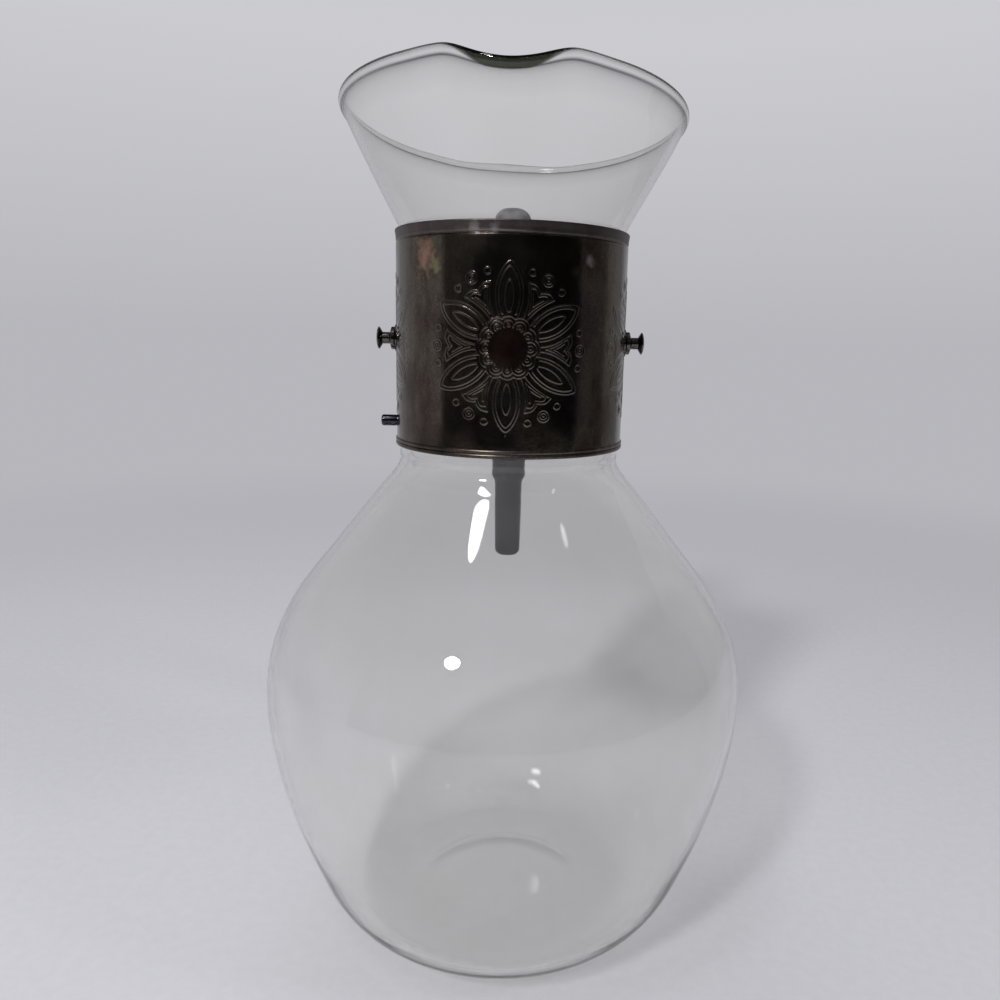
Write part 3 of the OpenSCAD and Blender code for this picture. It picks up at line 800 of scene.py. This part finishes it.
# %% Finishes of the metal parts
copper, verdigris = (0.44, 0.26, 0.18, 1), (0.27, 0.26, 0.14, 1)
silver, rose = (0.5, 0.48, 0.48, 1), (0.6, 0.46, 0.46, 1)
dark_red, dusty = (0.11, 0.045, 0.04, 1), (0.1, 0.085, 0.092, 1)
plate_stains = [
    ((-26.0, -27.8, 231.5), 5.0, copper), ((-22.6, -30.6, 228.5), 2.4, verdigris),
    ((23.2, -30.2, 231), 2.0, rose), ((18.4, -33.4, 227.6), 1.9, verdigris),
    ((-11.2, -36.8, 238.6), 1.8, silver), ((-5.2, -38.2, 238.8), 1.7, silver),
    ((-0.8, -38.1, 205), 7.5, dark_red)]
plate_trim = (shoulder_h + 2 * bead_h + 0.2, collar_top_h - strip_h, dusty)
plate = tarnished("tarnished_plate", [
    (0.032, 0.036, 0.028), (0.075, 0.055, 0.046), (0.12, 0.106, 0.084), (0.085, 0.066, 0.068),
    (0.15, 0.098, 0.075)], (0.2, 0.175, 0.15, 1), rough=(0.1, 0.24), clouds=46.0,
    stains=plate_stains, uneven=0.25, trim=plate_trim)
brass = tarnished("dull_brass", [
    (0.2, 0.15, 0.07), (0.3, 0.22, 0.1), (0.4, 0.3, 0.15), (0.34, 0.27, 0.15),
    (0.42, 0.3, 0.17)], (0.7, 0.6, 0.4, 1))
spool_metal = tarnished("turned_brass", [
    (0.05, 0.048, 0.046), (0.08, 0.074, 0.07), (0.13, 0.118, 0.105), (0.1, 0.09, 0.085),
    (0.16, 0.14, 0.12)], (0.36, 0.34, 0.32, 1), rough=(0.09, 0.18), clouds=300.0, uneven=0.08)
pin_steel = tarnished("dark_steel", [
    (0.02, 0.02, 0.027), (0.032, 0.031, 0.04), (0.045, 0.043, 0.055), (0.04, 0.038, 0.046),
    (0.06, 0.056, 0.06)], (0.2, 0.2, 0.22, 1), rough=(0.08, 0.18), clouds=260.0, uneven=0.1)
screw_steel = tarnished("screw_steel", [
    (0.13, 0.122, 0.11), (0.18, 0.168, 0.15), (0.24, 0.225, 0.2), (0.2, 0.182, 0.155),
    (0.26, 0.21, 0.155)], (0.5, 0.48, 0.45, 1), rough=(0.22, 0.42), clouds=240.0)

# %% [markdown]
# ## The collar
# The collar is one strip of sheet, bent round the neck and left open at the back. Its section
# has two beads at the bottom, a crease under the plain top strip, and a top edge turned
# slightly outwards. The mesh is a grid: fine columns where a rosette lies, coarse ones between,
# and rows fine enough for the lines. Each grid point of the outer face is pushed out by the
# relief that was just computed, so the ornament is real geometry and catches the light.

# %% Rows of the collar
sheet, crease, crease_w, flare_run = 0.8, 0.35, 0.45, 3.2
rosette_z, rosette_off = 205.0, -1.2
ear_in = 4.4
inner_r = collar_r - sheet
crease_h = collar_top_h - strip_h
rosette_bearings = [math.radians(rosette_off + 90 * k) for k in (-1, 0, 1)]
seam_half = math.asin(ear_in / collar_r)


def plain_rows(low, high):
    """Coarse rows up a plain stretch of the sheet."""
    return [(collar_r, z) for z in np.linspace(low, high, 8)]


bead_low = arc((collar_r, shoulder_h + bead_h / 2), bead_out, bead_h / 2, -90, 90, 10)
bead_high = arc((collar_r, shoulder_h + bead_h * 1.5), bead_out, bead_h / 2, -90, 90, 10)
plain_low = plain_rows(shoulder_h + 2 * bead_h + 0.4, rosette_z - rosette_half - 0.4)
chased_rows = [(collar_r, rosette_z + v) for v in local]
plain_high = plain_rows(rosette_z + rosette_half + 0.3, crease_h - crease_w)
crease_rows = [
    (collar_r - crease * dome(v, crease_w), crease_h + v) for v in np.linspace(-0.4, 0.5, 10)]
strip_rows = [
    (collar_r + lip_flare * ease((z - crease_h - crease_w) / flare_run) ** 1.5, z)
    for z in np.linspace(crease_h + crease_w + 0.2, collar_top_h - sheet / 2, 9)]
edge_middle = (collar_r + lip_flare - sheet / 2, collar_top_h - sheet / 2)
top_edge = arc(edge_middle, sheet / 2, sheet / 2, 10, 180, 8)
outer_rows = bead_low + bead_high[1:] + plain_low + chased_rows
outer_rows += plain_high + crease_rows + strip_rows + top_edge
inner_rows = [(inner_r, z) for z in np.linspace(crease_h, shoulder_h + 0.2, 24)]
section = np.array(outer_rows + inner_rows + [(inner_r + 0.1, shoulder_h)])
bead_rows = len(bead_low) + len(bead_high) - 1
first_chased = bead_rows + len(plain_low)
print("section of the collar:", len(section), "points")

# %% Columns of the collar
coarse_step = math.radians(1.2)
bearings = []
for middle_bearing in rosette_bearings:
    bearings += list(middle_bearing + local / collar_r)
bearings = np.array(bearings)
gaps = [(-math.pi + seam_half, bearings[0]), (bearings[-1], math.pi - seam_half)]
n = len(local)
gaps += [(bearings[n - 1], bearings[n]), (bearings[2 * n - 1], bearings[2 * n])]
coarse = [np.linspace(a, b, max(3, int((b - a) / coarse_step)))[1:-1] for a, b in gaps]
ends = [[-math.pi + seam_half], [math.pi - seam_half]]
columns = np.sort(np.concatenate([bearings, *coarse, *ends]))
print("collar grid:", len(columns), "columns of", len(section), "rows")

# %% The collar's mesh
radius = np.tile(section[:, 0], (len(columns), 1))
heights = np.tile(section[:, 1], (len(columns), 1))
bead_worn, edge_worn, crease_wear_and_glint = 0.08, 0.1, 1.0
wear_and_glint_map = np.zeros_like(radius)
for middle_bearing in rosette_bearings:
    start = int(np.argmin(np.abs(columns - (middle_bearing + local[0] / collar_r))))
    patch = (slice(start, start + n), slice(first_chased, first_chased + n))
    radius[patch] += relief
    wear_and_glint_map[patch] = np.maximum(wear_and_glint_map[patch], ridge)
wear_and_glint_map[:, :bead_rows] = np.clip((section[:bead_rows, 0] - collar_r) / bead_out, 0, 1) ** 2 * bead_worn
wear_and_glint_map[:, len(outer_rows) - len(top_edge):len(outer_rows)] = edge_worn
strip_start = first_chased + n + len(plain_high) + len(crease_rows)
# Painted glint: a bright line along the crease's top edge, with some wear.
wear_and_glint_map[:, strip_start - 2:strip_start + 1] = crease_wear_and_glint
xyz = np.stack([radius * np.sin(columns)[:, None], -radius * np.cos(columns)[:, None], heights], -1)
points, faces = skin(list(xyz))
band = piece("chased_collar", points, faces, plate, ["collar_band"], sharp=70)
band.data.materials.append(brass)
store(band, "wear_and_glint", wear_and_glint_map.ravel())
inner_faces = [int(f.vertices[0] % len(section) >= len(outer_rows)) for f in band.data.polygons]
band.data.polygons.foreach_set("material_index", inner_faces)
print("faces inside the collar, in bare brass:", sum(inner_faces))

# %% [markdown]
# ## Ears of the collar
# At the back the collar ends in two pairs of ears, bent out of the same sheet, that clamp the
# handle's tongue. Each ear is a strip: a path that leaves the collar along its curve, turns
# outwards on a small bend and runs straight back, with round outer corners.

# %% Ears
ear_l, ear_h, ear_corner, ear_edge, ear_sunk, bend_r = 11.0, 17.0, 3.0, 0.12, 0.1, 0.9
ear_start = ((1.6, 0.62), (0.7, 0.28))
screw_y = collar_r + ear_l / 2
screw_d, hole_gap = 4.0, 0.1


def ear(name, side, height):
    """One ear, as a bent strip of the collar's sheet."""
    x = ear_in + sheet / 2
    start_y = collar_r + bend_r - ear_sunk
    path = [(x + bend_r + out, start_y - bend_r - back) for out, back in ear_start]
    path += arc((x + bend_r, start_y), bend_r, bend_r, 270, 180, 8)
    corner_y = collar_r + ear_l - ear_corner
    path += [(x, y) for y in np.linspace(start_y + 1, corner_y, 6)]
    path += [(x, corner_y + ear_corner * math.sin(math.radians(a))) for a in np.linspace(9, 90, 10)]
    path = np.array(path)
    flow = directions(path)
    rings = []
    for (px, py), (dx, dy) in zip(path, flow):
        drop = max(0.0, py - corner_y)
        tall = ear_h / 2 - ear_corner + math.sqrt(max(ear_corner ** 2 - drop ** 2, 0.01))
        t, e = sheet / 2, ear_edge
        ring_points = []
        for across, up in ((-t, -tall + e), (-t, tall - e), (-t + e, tall), (t - e, tall),
                           (t, tall - e), (t, -tall + e), (t - e, -tall), (-t + e, -tall)):
            ring_points.append((side * (px - dy * across), py + dx * across, height + up))
        rings.append(ring_points if side > 0 else ring_points[::-1])
    points, faces = skin(rings)
    return piece(name, points, faces, plate, sharp=40)


def screw_hole(side, height):
    """A closed drill, from the middle out through one ear."""
    hole_r, length = screw_d / 2 + hole_gap, 12
    points, faces = turned([(0, 0), (hole_r, 0), (hole_r, length), (0, length)], 40)
    return bare_mesh("drill", placed(points, sideways(side, screw_y, height)), faces)


def cut(obj, mesh, sharp):
    """Cuts a closed mesh out of a piece, then marks the sharp edges again."""
    tool = in_scene("cutter", mesh)
    bpy.context.view_layer.update()
    modifier = obj.modifiers.new("cut", "BOOLEAN")
    modifier.operation = "DIFFERENCE"
    modifier.solver = "EXACT"
    modifier.object = tool
    graph = bpy.context.evaluated_depsgraph_get()
    result = bpy.data.meshes.new_from_object(obj.evaluated_get(graph))
    obj.modifiers.clear()
    obj.data = result
    result.set_sharp_from_angle(angle=math.radians(sharp))
    bpy.data.objects.remove(tool)


for tier, height in tiers:
    for hand, side in hands:
        cut(ear(f"ear_{tier}_{hand}", side, height), screw_hole(side, height), 40)

# %% [markdown]
# ## Trunnions and stop pin
# The carafe tilts in a stand on two spools, and a plain pin stops it. Spools are turned from
# bar: a shoulder against a washer, a cone down to the groove, and a thin mushroom disc at the
# end. One profile, drawn from its small steps and round edges, is turned and laid on its side,
# which is how the real part is made.

# %% Spools
boss_d, boss_l, journal_d, journal_l = 7.5, 1.9, 3.85, 2.5
disc_d, disc_l, shank_d = 7.4, 1.9, 3.2
washer_d, washer_t = 9.0, 0.6
peen_h, peen_share, disc_cone, disc_round = 1.1, 0.8, 0.95, 0.85
bore_gap, skin_gap = 0.2, 0.01
disc_wear_and_glint, disc_wear_and_glint_r, disc_from, pin_end_wear_and_glint, pin_bright_end_l = 0.6, 3.4, 2.0, 0.5, 0.8


def spool_profile():
    """Radius and distance from the axis of the carafe, from the peened end to the outer disc."""
    out0 = collar_r + washer_t
    in0 = inner_r - washer_t
    boss_end = out0 + boss_l
    groove_end = boss_end + journal_l
    end = groove_end + disc_l
    r, g, d = boss_d / 2, journal_d / 2, disc_d / 2
    shape = arc((0, in0), washer_d / 2 * peen_share, peen_h, -90, 0, 8)
    shape += [(shank_d / 2, in0), (shank_d / 2, out0), (r - 0.2, out0), (r, out0 + 0.2)]
    shape += [(r, boss_end - 0.75), (r - 0.08, boss_end - 0.62)]
    shape += [(g + 0.35, boss_end - 0.1), (g + 0.08, boss_end + 0.05), (g, boss_end + 0.2)]
    shape += [(g, groove_end - 0.2), (g + 0.1, groove_end - 0.02), (g + 0.4, groove_end + 0.1)]
    shape += [(d - 0.15, groove_end + disc_cone - 0.1), (d - 0.03, groove_end + disc_cone)]
    shape += arc((0, end - disc_round), d, disc_round, 6, 90, 12)
    return shape


def store_wear_and_glint(obj, test, amount):
    """Stores how bright each point of a piece is, from wear and painted glint: amount where the test of its
    place in mm holds.
    """
    store(obj, "wear_and_glint", [amount if test(v.co / mm) else 0.0 for v in obj.data.vertices])


def on_disc(p):
    """Whether a point in mm lies on the rim of a spool's shoulder or disc."""
    return abs(p.x) > collar_r + disc_from and math.hypot(p.y, p.z - trunnion_z) > disc_wear_and_glint_r


for hand, side in hands:
    points, faces = turned(spool_profile(), 80)
    spool = piece(f"spool_{hand}", placed(points, sideways(side, 0, trunnion_z)), faces, spool_metal,
                  [f"trunnion_{hand}"], sharp=24)
    # The rims of each spool's shoulder and disc are brighter: wear, and a painted highlight.
    store_wear_and_glint(spool, on_disc, disc_wear_and_glint)

# %% Washers bent to the collar


def bent_washer(name, side, z, outer, bore, r_low, r_high, material, replaces):
    """A thin washer that follows the collar's curve between two radii."""
    edge = 0.12
    profile = [(bore / 2, 0), (outer / 2 - edge, 0), (outer / 2, edge), (outer / 2, 1 - edge),
               (outer / 2 - edge, 1), (bore / 2, 1)]
    points, faces = turned(profile, 72, loop=True)
    bent = []
    for x, y, t in points:
        t = min(max(t, 0), 1)
        r = mix(r_low, r_high, t)
        a = y / r_low
        bent.append((side * r * math.cos(a), r * math.sin(a), z + x))
    if side < 0:
        faces = [f[::-1] for f in faces]
    return piece(name, bent, faces, material, replaces, sharp=40)


for hand, side in hands:
    bent_washer(f"washer_{hand}", side, trunnion_z, washer_d, shank_d + bore_gap,
                collar_r + skin_gap, collar_r + washer_t, spool_metal, [f"trunnion_washer_{hand}"])
    bent_washer(f"backing_{hand}", side, trunnion_z, washer_d, shank_d + bore_gap,
                inner_r - washer_t, inner_r - skin_gap, brass, [f"trunnion_backing_{hand}"])

# %% Stop pin
stop_d, stop_l, stop_shank_d, stop_washer_d = 3.8, 5.5, 2.4, 5.6
stop_peen_h, stop_groove, stop_round = 0.8, 0.06, 0.6
pin_r, pin_end = stop_d / 2, collar_r + stop_l
pin_shape = arc((0, inner_r - washer_t), stop_washer_d / 2 * peen_share, stop_peen_h, -90, 0, 8)
pin_shape += [(stop_shank_d / 2, inner_r - washer_t), (stop_shank_d / 2, collar_r)]
pin_shape += [(pin_r, collar_r), (pin_r, collar_r + 0.35), (pin_r - stop_groove, collar_r + 0.45)]
pin_shape += [(pin_r - stop_groove, collar_r + 0.6), (pin_r, collar_r + 0.7)]
pin_shape += arc((pin_r - stop_round, pin_end - stop_round), stop_round, stop_round, 0, 90, 8)
pin_shape += [(0, pin_end)]
points, faces = turned(pin_shape, 64)
stop = piece("stop_post", placed(points, sideways(-1, 0, stop_z)), faces, pin_steel,
             ["stop_pin"], sharp=30)
# The pin's end is brighter: wear, and a painted highlight on its lit edge.
store_wear_and_glint(stop, lambda p: abs(p.x) > pin_end - pin_bright_end_l, pin_end_wear_and_glint)
bent_washer("stop_backing", -1, stop_z, stop_washer_d, stop_shank_d + bore_gap,
            inner_r - washer_t, inner_r - skin_gap, brass, ["stop_pin_backing"])

# %% [markdown]
# ## Cork seats
# Two strips of cork sit between the glass and the metal, so that the collar grips without
# cracking the neck. Only their thin edges show, through the glass and from above. Cork is a
# dense block of small cells with darker pores, so its colour comes from cells and its edge is
# slightly uneven.

# %% Cork
cork, tree, shader = new_material("cork", Roughness=0.85)
cells = add(tree, "ShaderNodeTexVoronoi", {"Vector": own_place(tree), "Scale": 900.0}).outputs["Distance"]
grain = ramp(tree, cells, [(0.0, (0.16, 0.09, 0.045)), (0.35, (0.36, 0.23, 0.12)), (0.8, (0.5, 0.35, 0.2))])
wire(tree, shader, Base_Color=blend(tree, noise(tree, 160, 4), grain, (0.3, 0.18, 0.09, 1)),
     Normal=bump(tree, cells, 0.0002, 0.6))

# %% Cork strips
cork_h, cork_inset, cork_gap, cork_split = 3.6, 0.3, 0.04, 1.0
cork_edge_w, cork_edge_h, cork_uneven = 0.12, 0.15, 0.05


def glass_r(z):
    """Radius of the outside of the glass at a height above the belly."""
    upper = outside[(len(body_shares) - 1) * span_steps:]
    return np.interp(z, upper[:, 1], upper[:, 0])


def cork_strip(name, low, node):
    """A strip bent round the neck, from the glass to the collar, open at the back."""
    high = low + cork_h
    outer = inner_r - cork_gap
    split = math.asin(cork_split / 2 / outer)
    levels = np.linspace(high, low, 9)
    section = [(outer, low + cork_edge_h), (outer, high - cork_edge_h), (outer - cork_edge_w, high)]
    section += [(glass_r(z) + cork_gap, z) for z in levels]
    section += [(outer - cork_edge_w, low)]
    rings = []
    for a in np.linspace(-math.pi + split, math.pi - split, 240):
        uneven = cork_uneven * math.sin(37 * a) * math.sin(11 * a + 1)
        rings.append([(r * math.sin(a), -r * math.cos(a), z + uneven * (z > low + 0.1) * (z < high))
                      for r, z in section])
    points, faces = skin(rings)
    piece(name, points, faces, cork, [node], sharp=40)


cork_strip("cork_seat_lower", shoulder_h + cork_inset, "cork_lower")
cork_strip("cork_seat_upper", collar_top_h - cork_inset - cork_h, "cork_upper")

# %% [markdown]
# ## The handle
# The handle is moulded in black phenolic: it rises from the ears, arches back over the collar
# and hangs down behind the glass. It is a sweep of rounded squares along one smooth middle
# line, with soft ends. A moulded piece has a fine parting line and a satin skin with very fine
# grain. Towards the top of the arch it turns grey in patches: painted sheen from the light above,
# broken up by dust.

# %% Handle's line
grip_w, grip_t, grip_reach, grip_end_h = 15.8, 14.6, 95.48, 107.5
arch_rise, root_gap, tongue_w, end_round = 9.4, 12.4, 8.6, 3.4
root_y = collar_r + root_gap
root_low, root_top = screw_low - ear_h / 2, screw_high + ear_h / 2
arch_h = collar_top_h + arch_rise
reach, drop = grip_reach - root_y, arch_h - grip_end_h
root_shares = [(0.76, 0.8), (0.9, 0.88), (1.02, 0.96)]
grip_shares = [
    (0.26, 0, 1.02, 1), (0.58, 0.03, 0.97, 0.99), (0.83, 0.13, 0.96, 0.98), (0.955, 0.28, 1, 1),
    (1, 0.46, 1.04, 1), (1.005, 0.62, 1.04, 0.99), (1, 0.75, 0.97, 1.02), (1, 0.79, 0.9, 0.85),
    (0.998, 0.88, 0.84, 0.8), (0.995, 1, 0.76, 0.75)]
grip_knots = [
    (root_y, mix(root_low + end_round, root_top, i / 2), t * grip_t, w * grip_w)
    for i, (t, w) in enumerate(root_shares)]
grip_knots += [
    (root_y + s[0] * reach, arch_h - s[1] * (drop - end_round), s[2] * grip_t, s[3] * grip_w)
    for s in grip_shares]
grip_line = spline(grip_knots, 9)
grip_flow = directions(grip_line)
print("handle's middle line:", len(grip_line), "stations")

# %% Handle's skin
corner_power, ring_points, cap_steps, parting = 0.78, 64, 8, 0.14


def grip_ring(at, flow, thick, wide):
    """A rounded square across the handle, with a shallow parting groove on its two sides."""
    out = []
    for j in range(ring_points):
        a = 2 * math.pi * j / ring_points
        c, s = math.cos(a), math.sin(a)
        off = thick / 2 * math.copysign(abs(c) ** corner_power, c)
        x = wide / 2 * math.copysign(abs(s) ** corner_power, s)
        if j in (ring_points // 4, 3 * ring_points // 4):
            x *= 1 - parting / (wide / 2)
        out.append((x, at[0] + flow[1] * off, at[1] - flow[0] * off))
    return out


def cap_rings(first):
    """Rings past an end of the handle, drawn in on a quarter circle."""
    i = 0 if first else len(grip_line) - 1
    flow = grip_flow[i]
    sign = -1 if first else 1
    rings = []
    for q in range(1, cap_steps + 1):
        a = math.pi / 2 * q / cap_steps
        at = grip_line[i, :2] + sign * flow * end_round * math.sin(a)
        inset = 2 * end_round * (1 - math.cos(a))
        rings.append(grip_ring(at, flow, grip_line[i, 2] - inset, grip_line[i, 3] - inset))
    return rings[::-1] if first else rings


rings = cap_rings(True)
rings += [grip_ring(p[:2], f, p[2], p[3]) for p, f in zip(grip_line, grip_flow)]
rings += cap_rings(False)

# %% Handle's material
phenolic, tree, shader = new_material("black_grip", Specular_IOR_Level=0.35)
tone = ramp(tree, noise(tree, 55, 5), [(0.3, (0.007, 0.007, 0.01)), (0.7, (0.018, 0.018, 0.024))])
# Painted sheen: lighter grey towards the arch's top, as light from above would show, broken into dusty
# patches.
sheen_towards_top = span(tree, own_height(tree), collar_top_h * mm, (arch_h + 5) * mm, 0.0, 0.8)
patches = span(tree, noise(tree, 90, 6), 0.35, 0.6, 0.3, 1.0)
top_sheen_and_dust = blend(tree, maths(tree, "MULTIPLY", sheen_towards_top, patches), tone, (0.27, 0.27, 0.29, 1))
wire(tree, shader, Base_Color=top_sheen_and_dust, Roughness=span(tree, noise(tree, 35, 4), 0.3, 0.7, 0.27, 0.46),
     Normal=bump(tree, noise(tree, 1500, 3), 0.00006, 0.5))
print("handle's material:", len(tree.nodes), "nodes")

# %% Handle
points, faces = skin(rings)
faces = [f[::-1] for f in faces]
grip = piece("moulded_grip", points, faces, phenolic, ["handle_grip"], sharp=50)


def block(low, high):
    """A closed box as a mesh, for cutting, from corners in mm."""
    (x0, y0, z0), (x1, y1, z1) = low, high
    corners = [(x, y, z) for x in (x0, x1) for y in (y0, y1) for z in (z0, z1)]
    faces = [(0, 1, 3, 2), (4, 6, 7, 5), (0, 4, 5, 1), (2, 3, 7, 6), (0, 2, 6, 4), (1, 5, 7, 3)]
    return bare_mesh("block", corners, faces)


step_y = collar_r + ear_l + 0.1
cut_low, cut_high = root_low - 5, root_top + 3
for hand, side in hands:
    x0, x1 = sorted((side * tongue_w / 2, side * grip_w))
    cut(grip, block((x0, 0, cut_low), (x1, step_y, cut_high)), 50)
print("moulded_grip has", len(grip.data.polygons), "faces after its root is cut")

# %% Tongue between the ears
tongue_y, tongue_inset, tongue_edge = collar_r + 0.5, 0.6, 0.5
tongue_rows = ((0, tongue_edge), (0.15, 0.2), (tongue_edge, 0), (root_y - tongue_y, 0))
rings = []
for back, shrink in tongue_rows:
    w, y = tongue_w / 2 - shrink * 0.5, tongue_y + back
    low, high = root_low + tongue_inset + shrink, root_top - tongue_inset - shrink
    rings.append([(-w, y, low), (w, y, low), (w, y, high), (-w, y, high)])
points, faces = skin(rings)
piece("grip_tongue", points, faces, phenolic, sharp=40)

# %% [markdown]
# ## Screws, nuts and washers
# Two cross screws clamp the ears on the tongue. Their heads are domed and slotted, their ends
# stand a little out of plain hexagon nuts, and a washer lies under each head and nut. A nut is
# a hexagon whose corners are cut by a cone, and that cone is what makes it look turned.

# %% Screws
head_d, head_h, head_rim, nut_af, nut_h, flat_d, flat_t = 7.6, 2.4, 0.35, 7.0, 2.6, 8.6, 0.7
screw_pitch, thread_deep, slot_deep, slot_half, past_nut = 0.7, 0.25, 1.0, 0.5, 0.35
slot_leans = {"lower": 24, "upper": -37}
ear_out = ear_in + sheet
nut_seat = ear_out + flat_t
shank_end = nut_seat + nut_h + past_nut


def screw_profile():
    """Radius and distance along the screw, from the domed head to the threaded end."""
    r = screw_d / 2
    shape = arc((0, -nut_seat - head_rim), head_d / 2, head_h - head_rim, -90, 0, 12)
    shape += [(head_d / 2, -nut_seat - 0.1), (head_d / 2 - 0.1, -nut_seat), (r, -nut_seat), (r, nut_seat)]
    for i in range(4):
        z = nut_seat + 0.2 + i * screw_pitch
        shape += [(r, z), (r - thread_deep, z + screw_pitch / 2)]
    shape += [(r - 0.35, shank_end), (0, shank_end)]
    return shape


for tier, height in tiers:
    points, faces = turned(screw_profile(), 56)
    screw = piece(f"cross_screw_{tier}", placed(points, sideways(1, screw_y, height)), faces, screw_steel,
                  [f"handle_screw_{tier}"], sharp=30)
    tip = -nut_seat - head_h
    slot = block((tip - 1, screw_y - head_d, height - slot_half),
                 (tip + slot_deep, screw_y + head_d, height + slot_half))
    lean = Matrix.Rotation(math.radians(slot_leans[tier]), 4, "X")
    about = Vector((0, screw_y * mm, height * mm))
    slot.transform(Matrix.Translation(about) @ lean @ Matrix.Translation(-about))
    cut(screw, slot, 30)

# %% Nuts
nut_steps, nut_cone, nut_chamfer = 72, 0.1, 0.35
bore_r, bore_chamfer = screw_d / 2 + 0.03, 0.3


def nut_ring(x, height, radius_at):
    """Points round a screw's line; radius_at gives the radius at an angle."""
    out = []
    for a in [2 * math.pi * j / nut_steps for j in range(nut_steps)]:
        r = radius_at(a)
        out.append((x, screw_y + r * math.sin(a), height + r * math.cos(a)))
    return out


def hexagon(a):
    """Radius of the nut's six flats at an angle."""
    return nut_af / 2 / math.cos((a + math.pi / 6) % (math.pi / 3) - math.pi / 6)


for tier, height in tiers:
    rings = []
    for x, cone in ((0, True), (nut_chamfer, False), (nut_h - nut_chamfer, False), (nut_h, True)):
        limit = nut_af / 2 + nut_cone if cone else nut_af
        rings.append(nut_ring(nut_seat + x, height, lambda a: min(hexagon(a), limit)))
    for x, grow in ((nut_h, bore_chamfer), (nut_h - bore_chamfer, 0), (bore_chamfer, 0), (0, bore_chamfer)):
        rings.append(nut_ring(nut_seat + x, height, lambda a: bore_r + grow))
    points, faces = skin(rings, loop=True)
    piece(f"hex_nut_{tier}", points, [f[::-1] for f in faces], screw_steel,
          [f"handle_nut_{tier}"], sharp=20)

# %% Flat washers
rim_r, edge = flat_d / 2, 0.1
flat_profile = [
    (bore_r, 0), (rim_r - edge, 0), (rim_r, edge), (rim_r, flat_t - edge), (rim_r - edge, flat_t),
    (bore_r, flat_t)]
for tier, height in tiers:
    for end, x in (("head", -nut_seat), ("nut", ear_out)):
        points, faces = turned(flat_profile, 64, loop=True)
        points = [(x + along_screw, screw_y + px, height + py) for px, py, along_screw in points]
        piece(f"flat_washer_{tier}_{end}", points, faces, screw_steel,
                             sharp=30)
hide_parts("handle_washers")

# %% [markdown]
# ## Finish
# The view stays plain Standard, so that colours render as they are written.

# %% Finish
bpy.context.scene.view_settings.view_transform = "Standard"
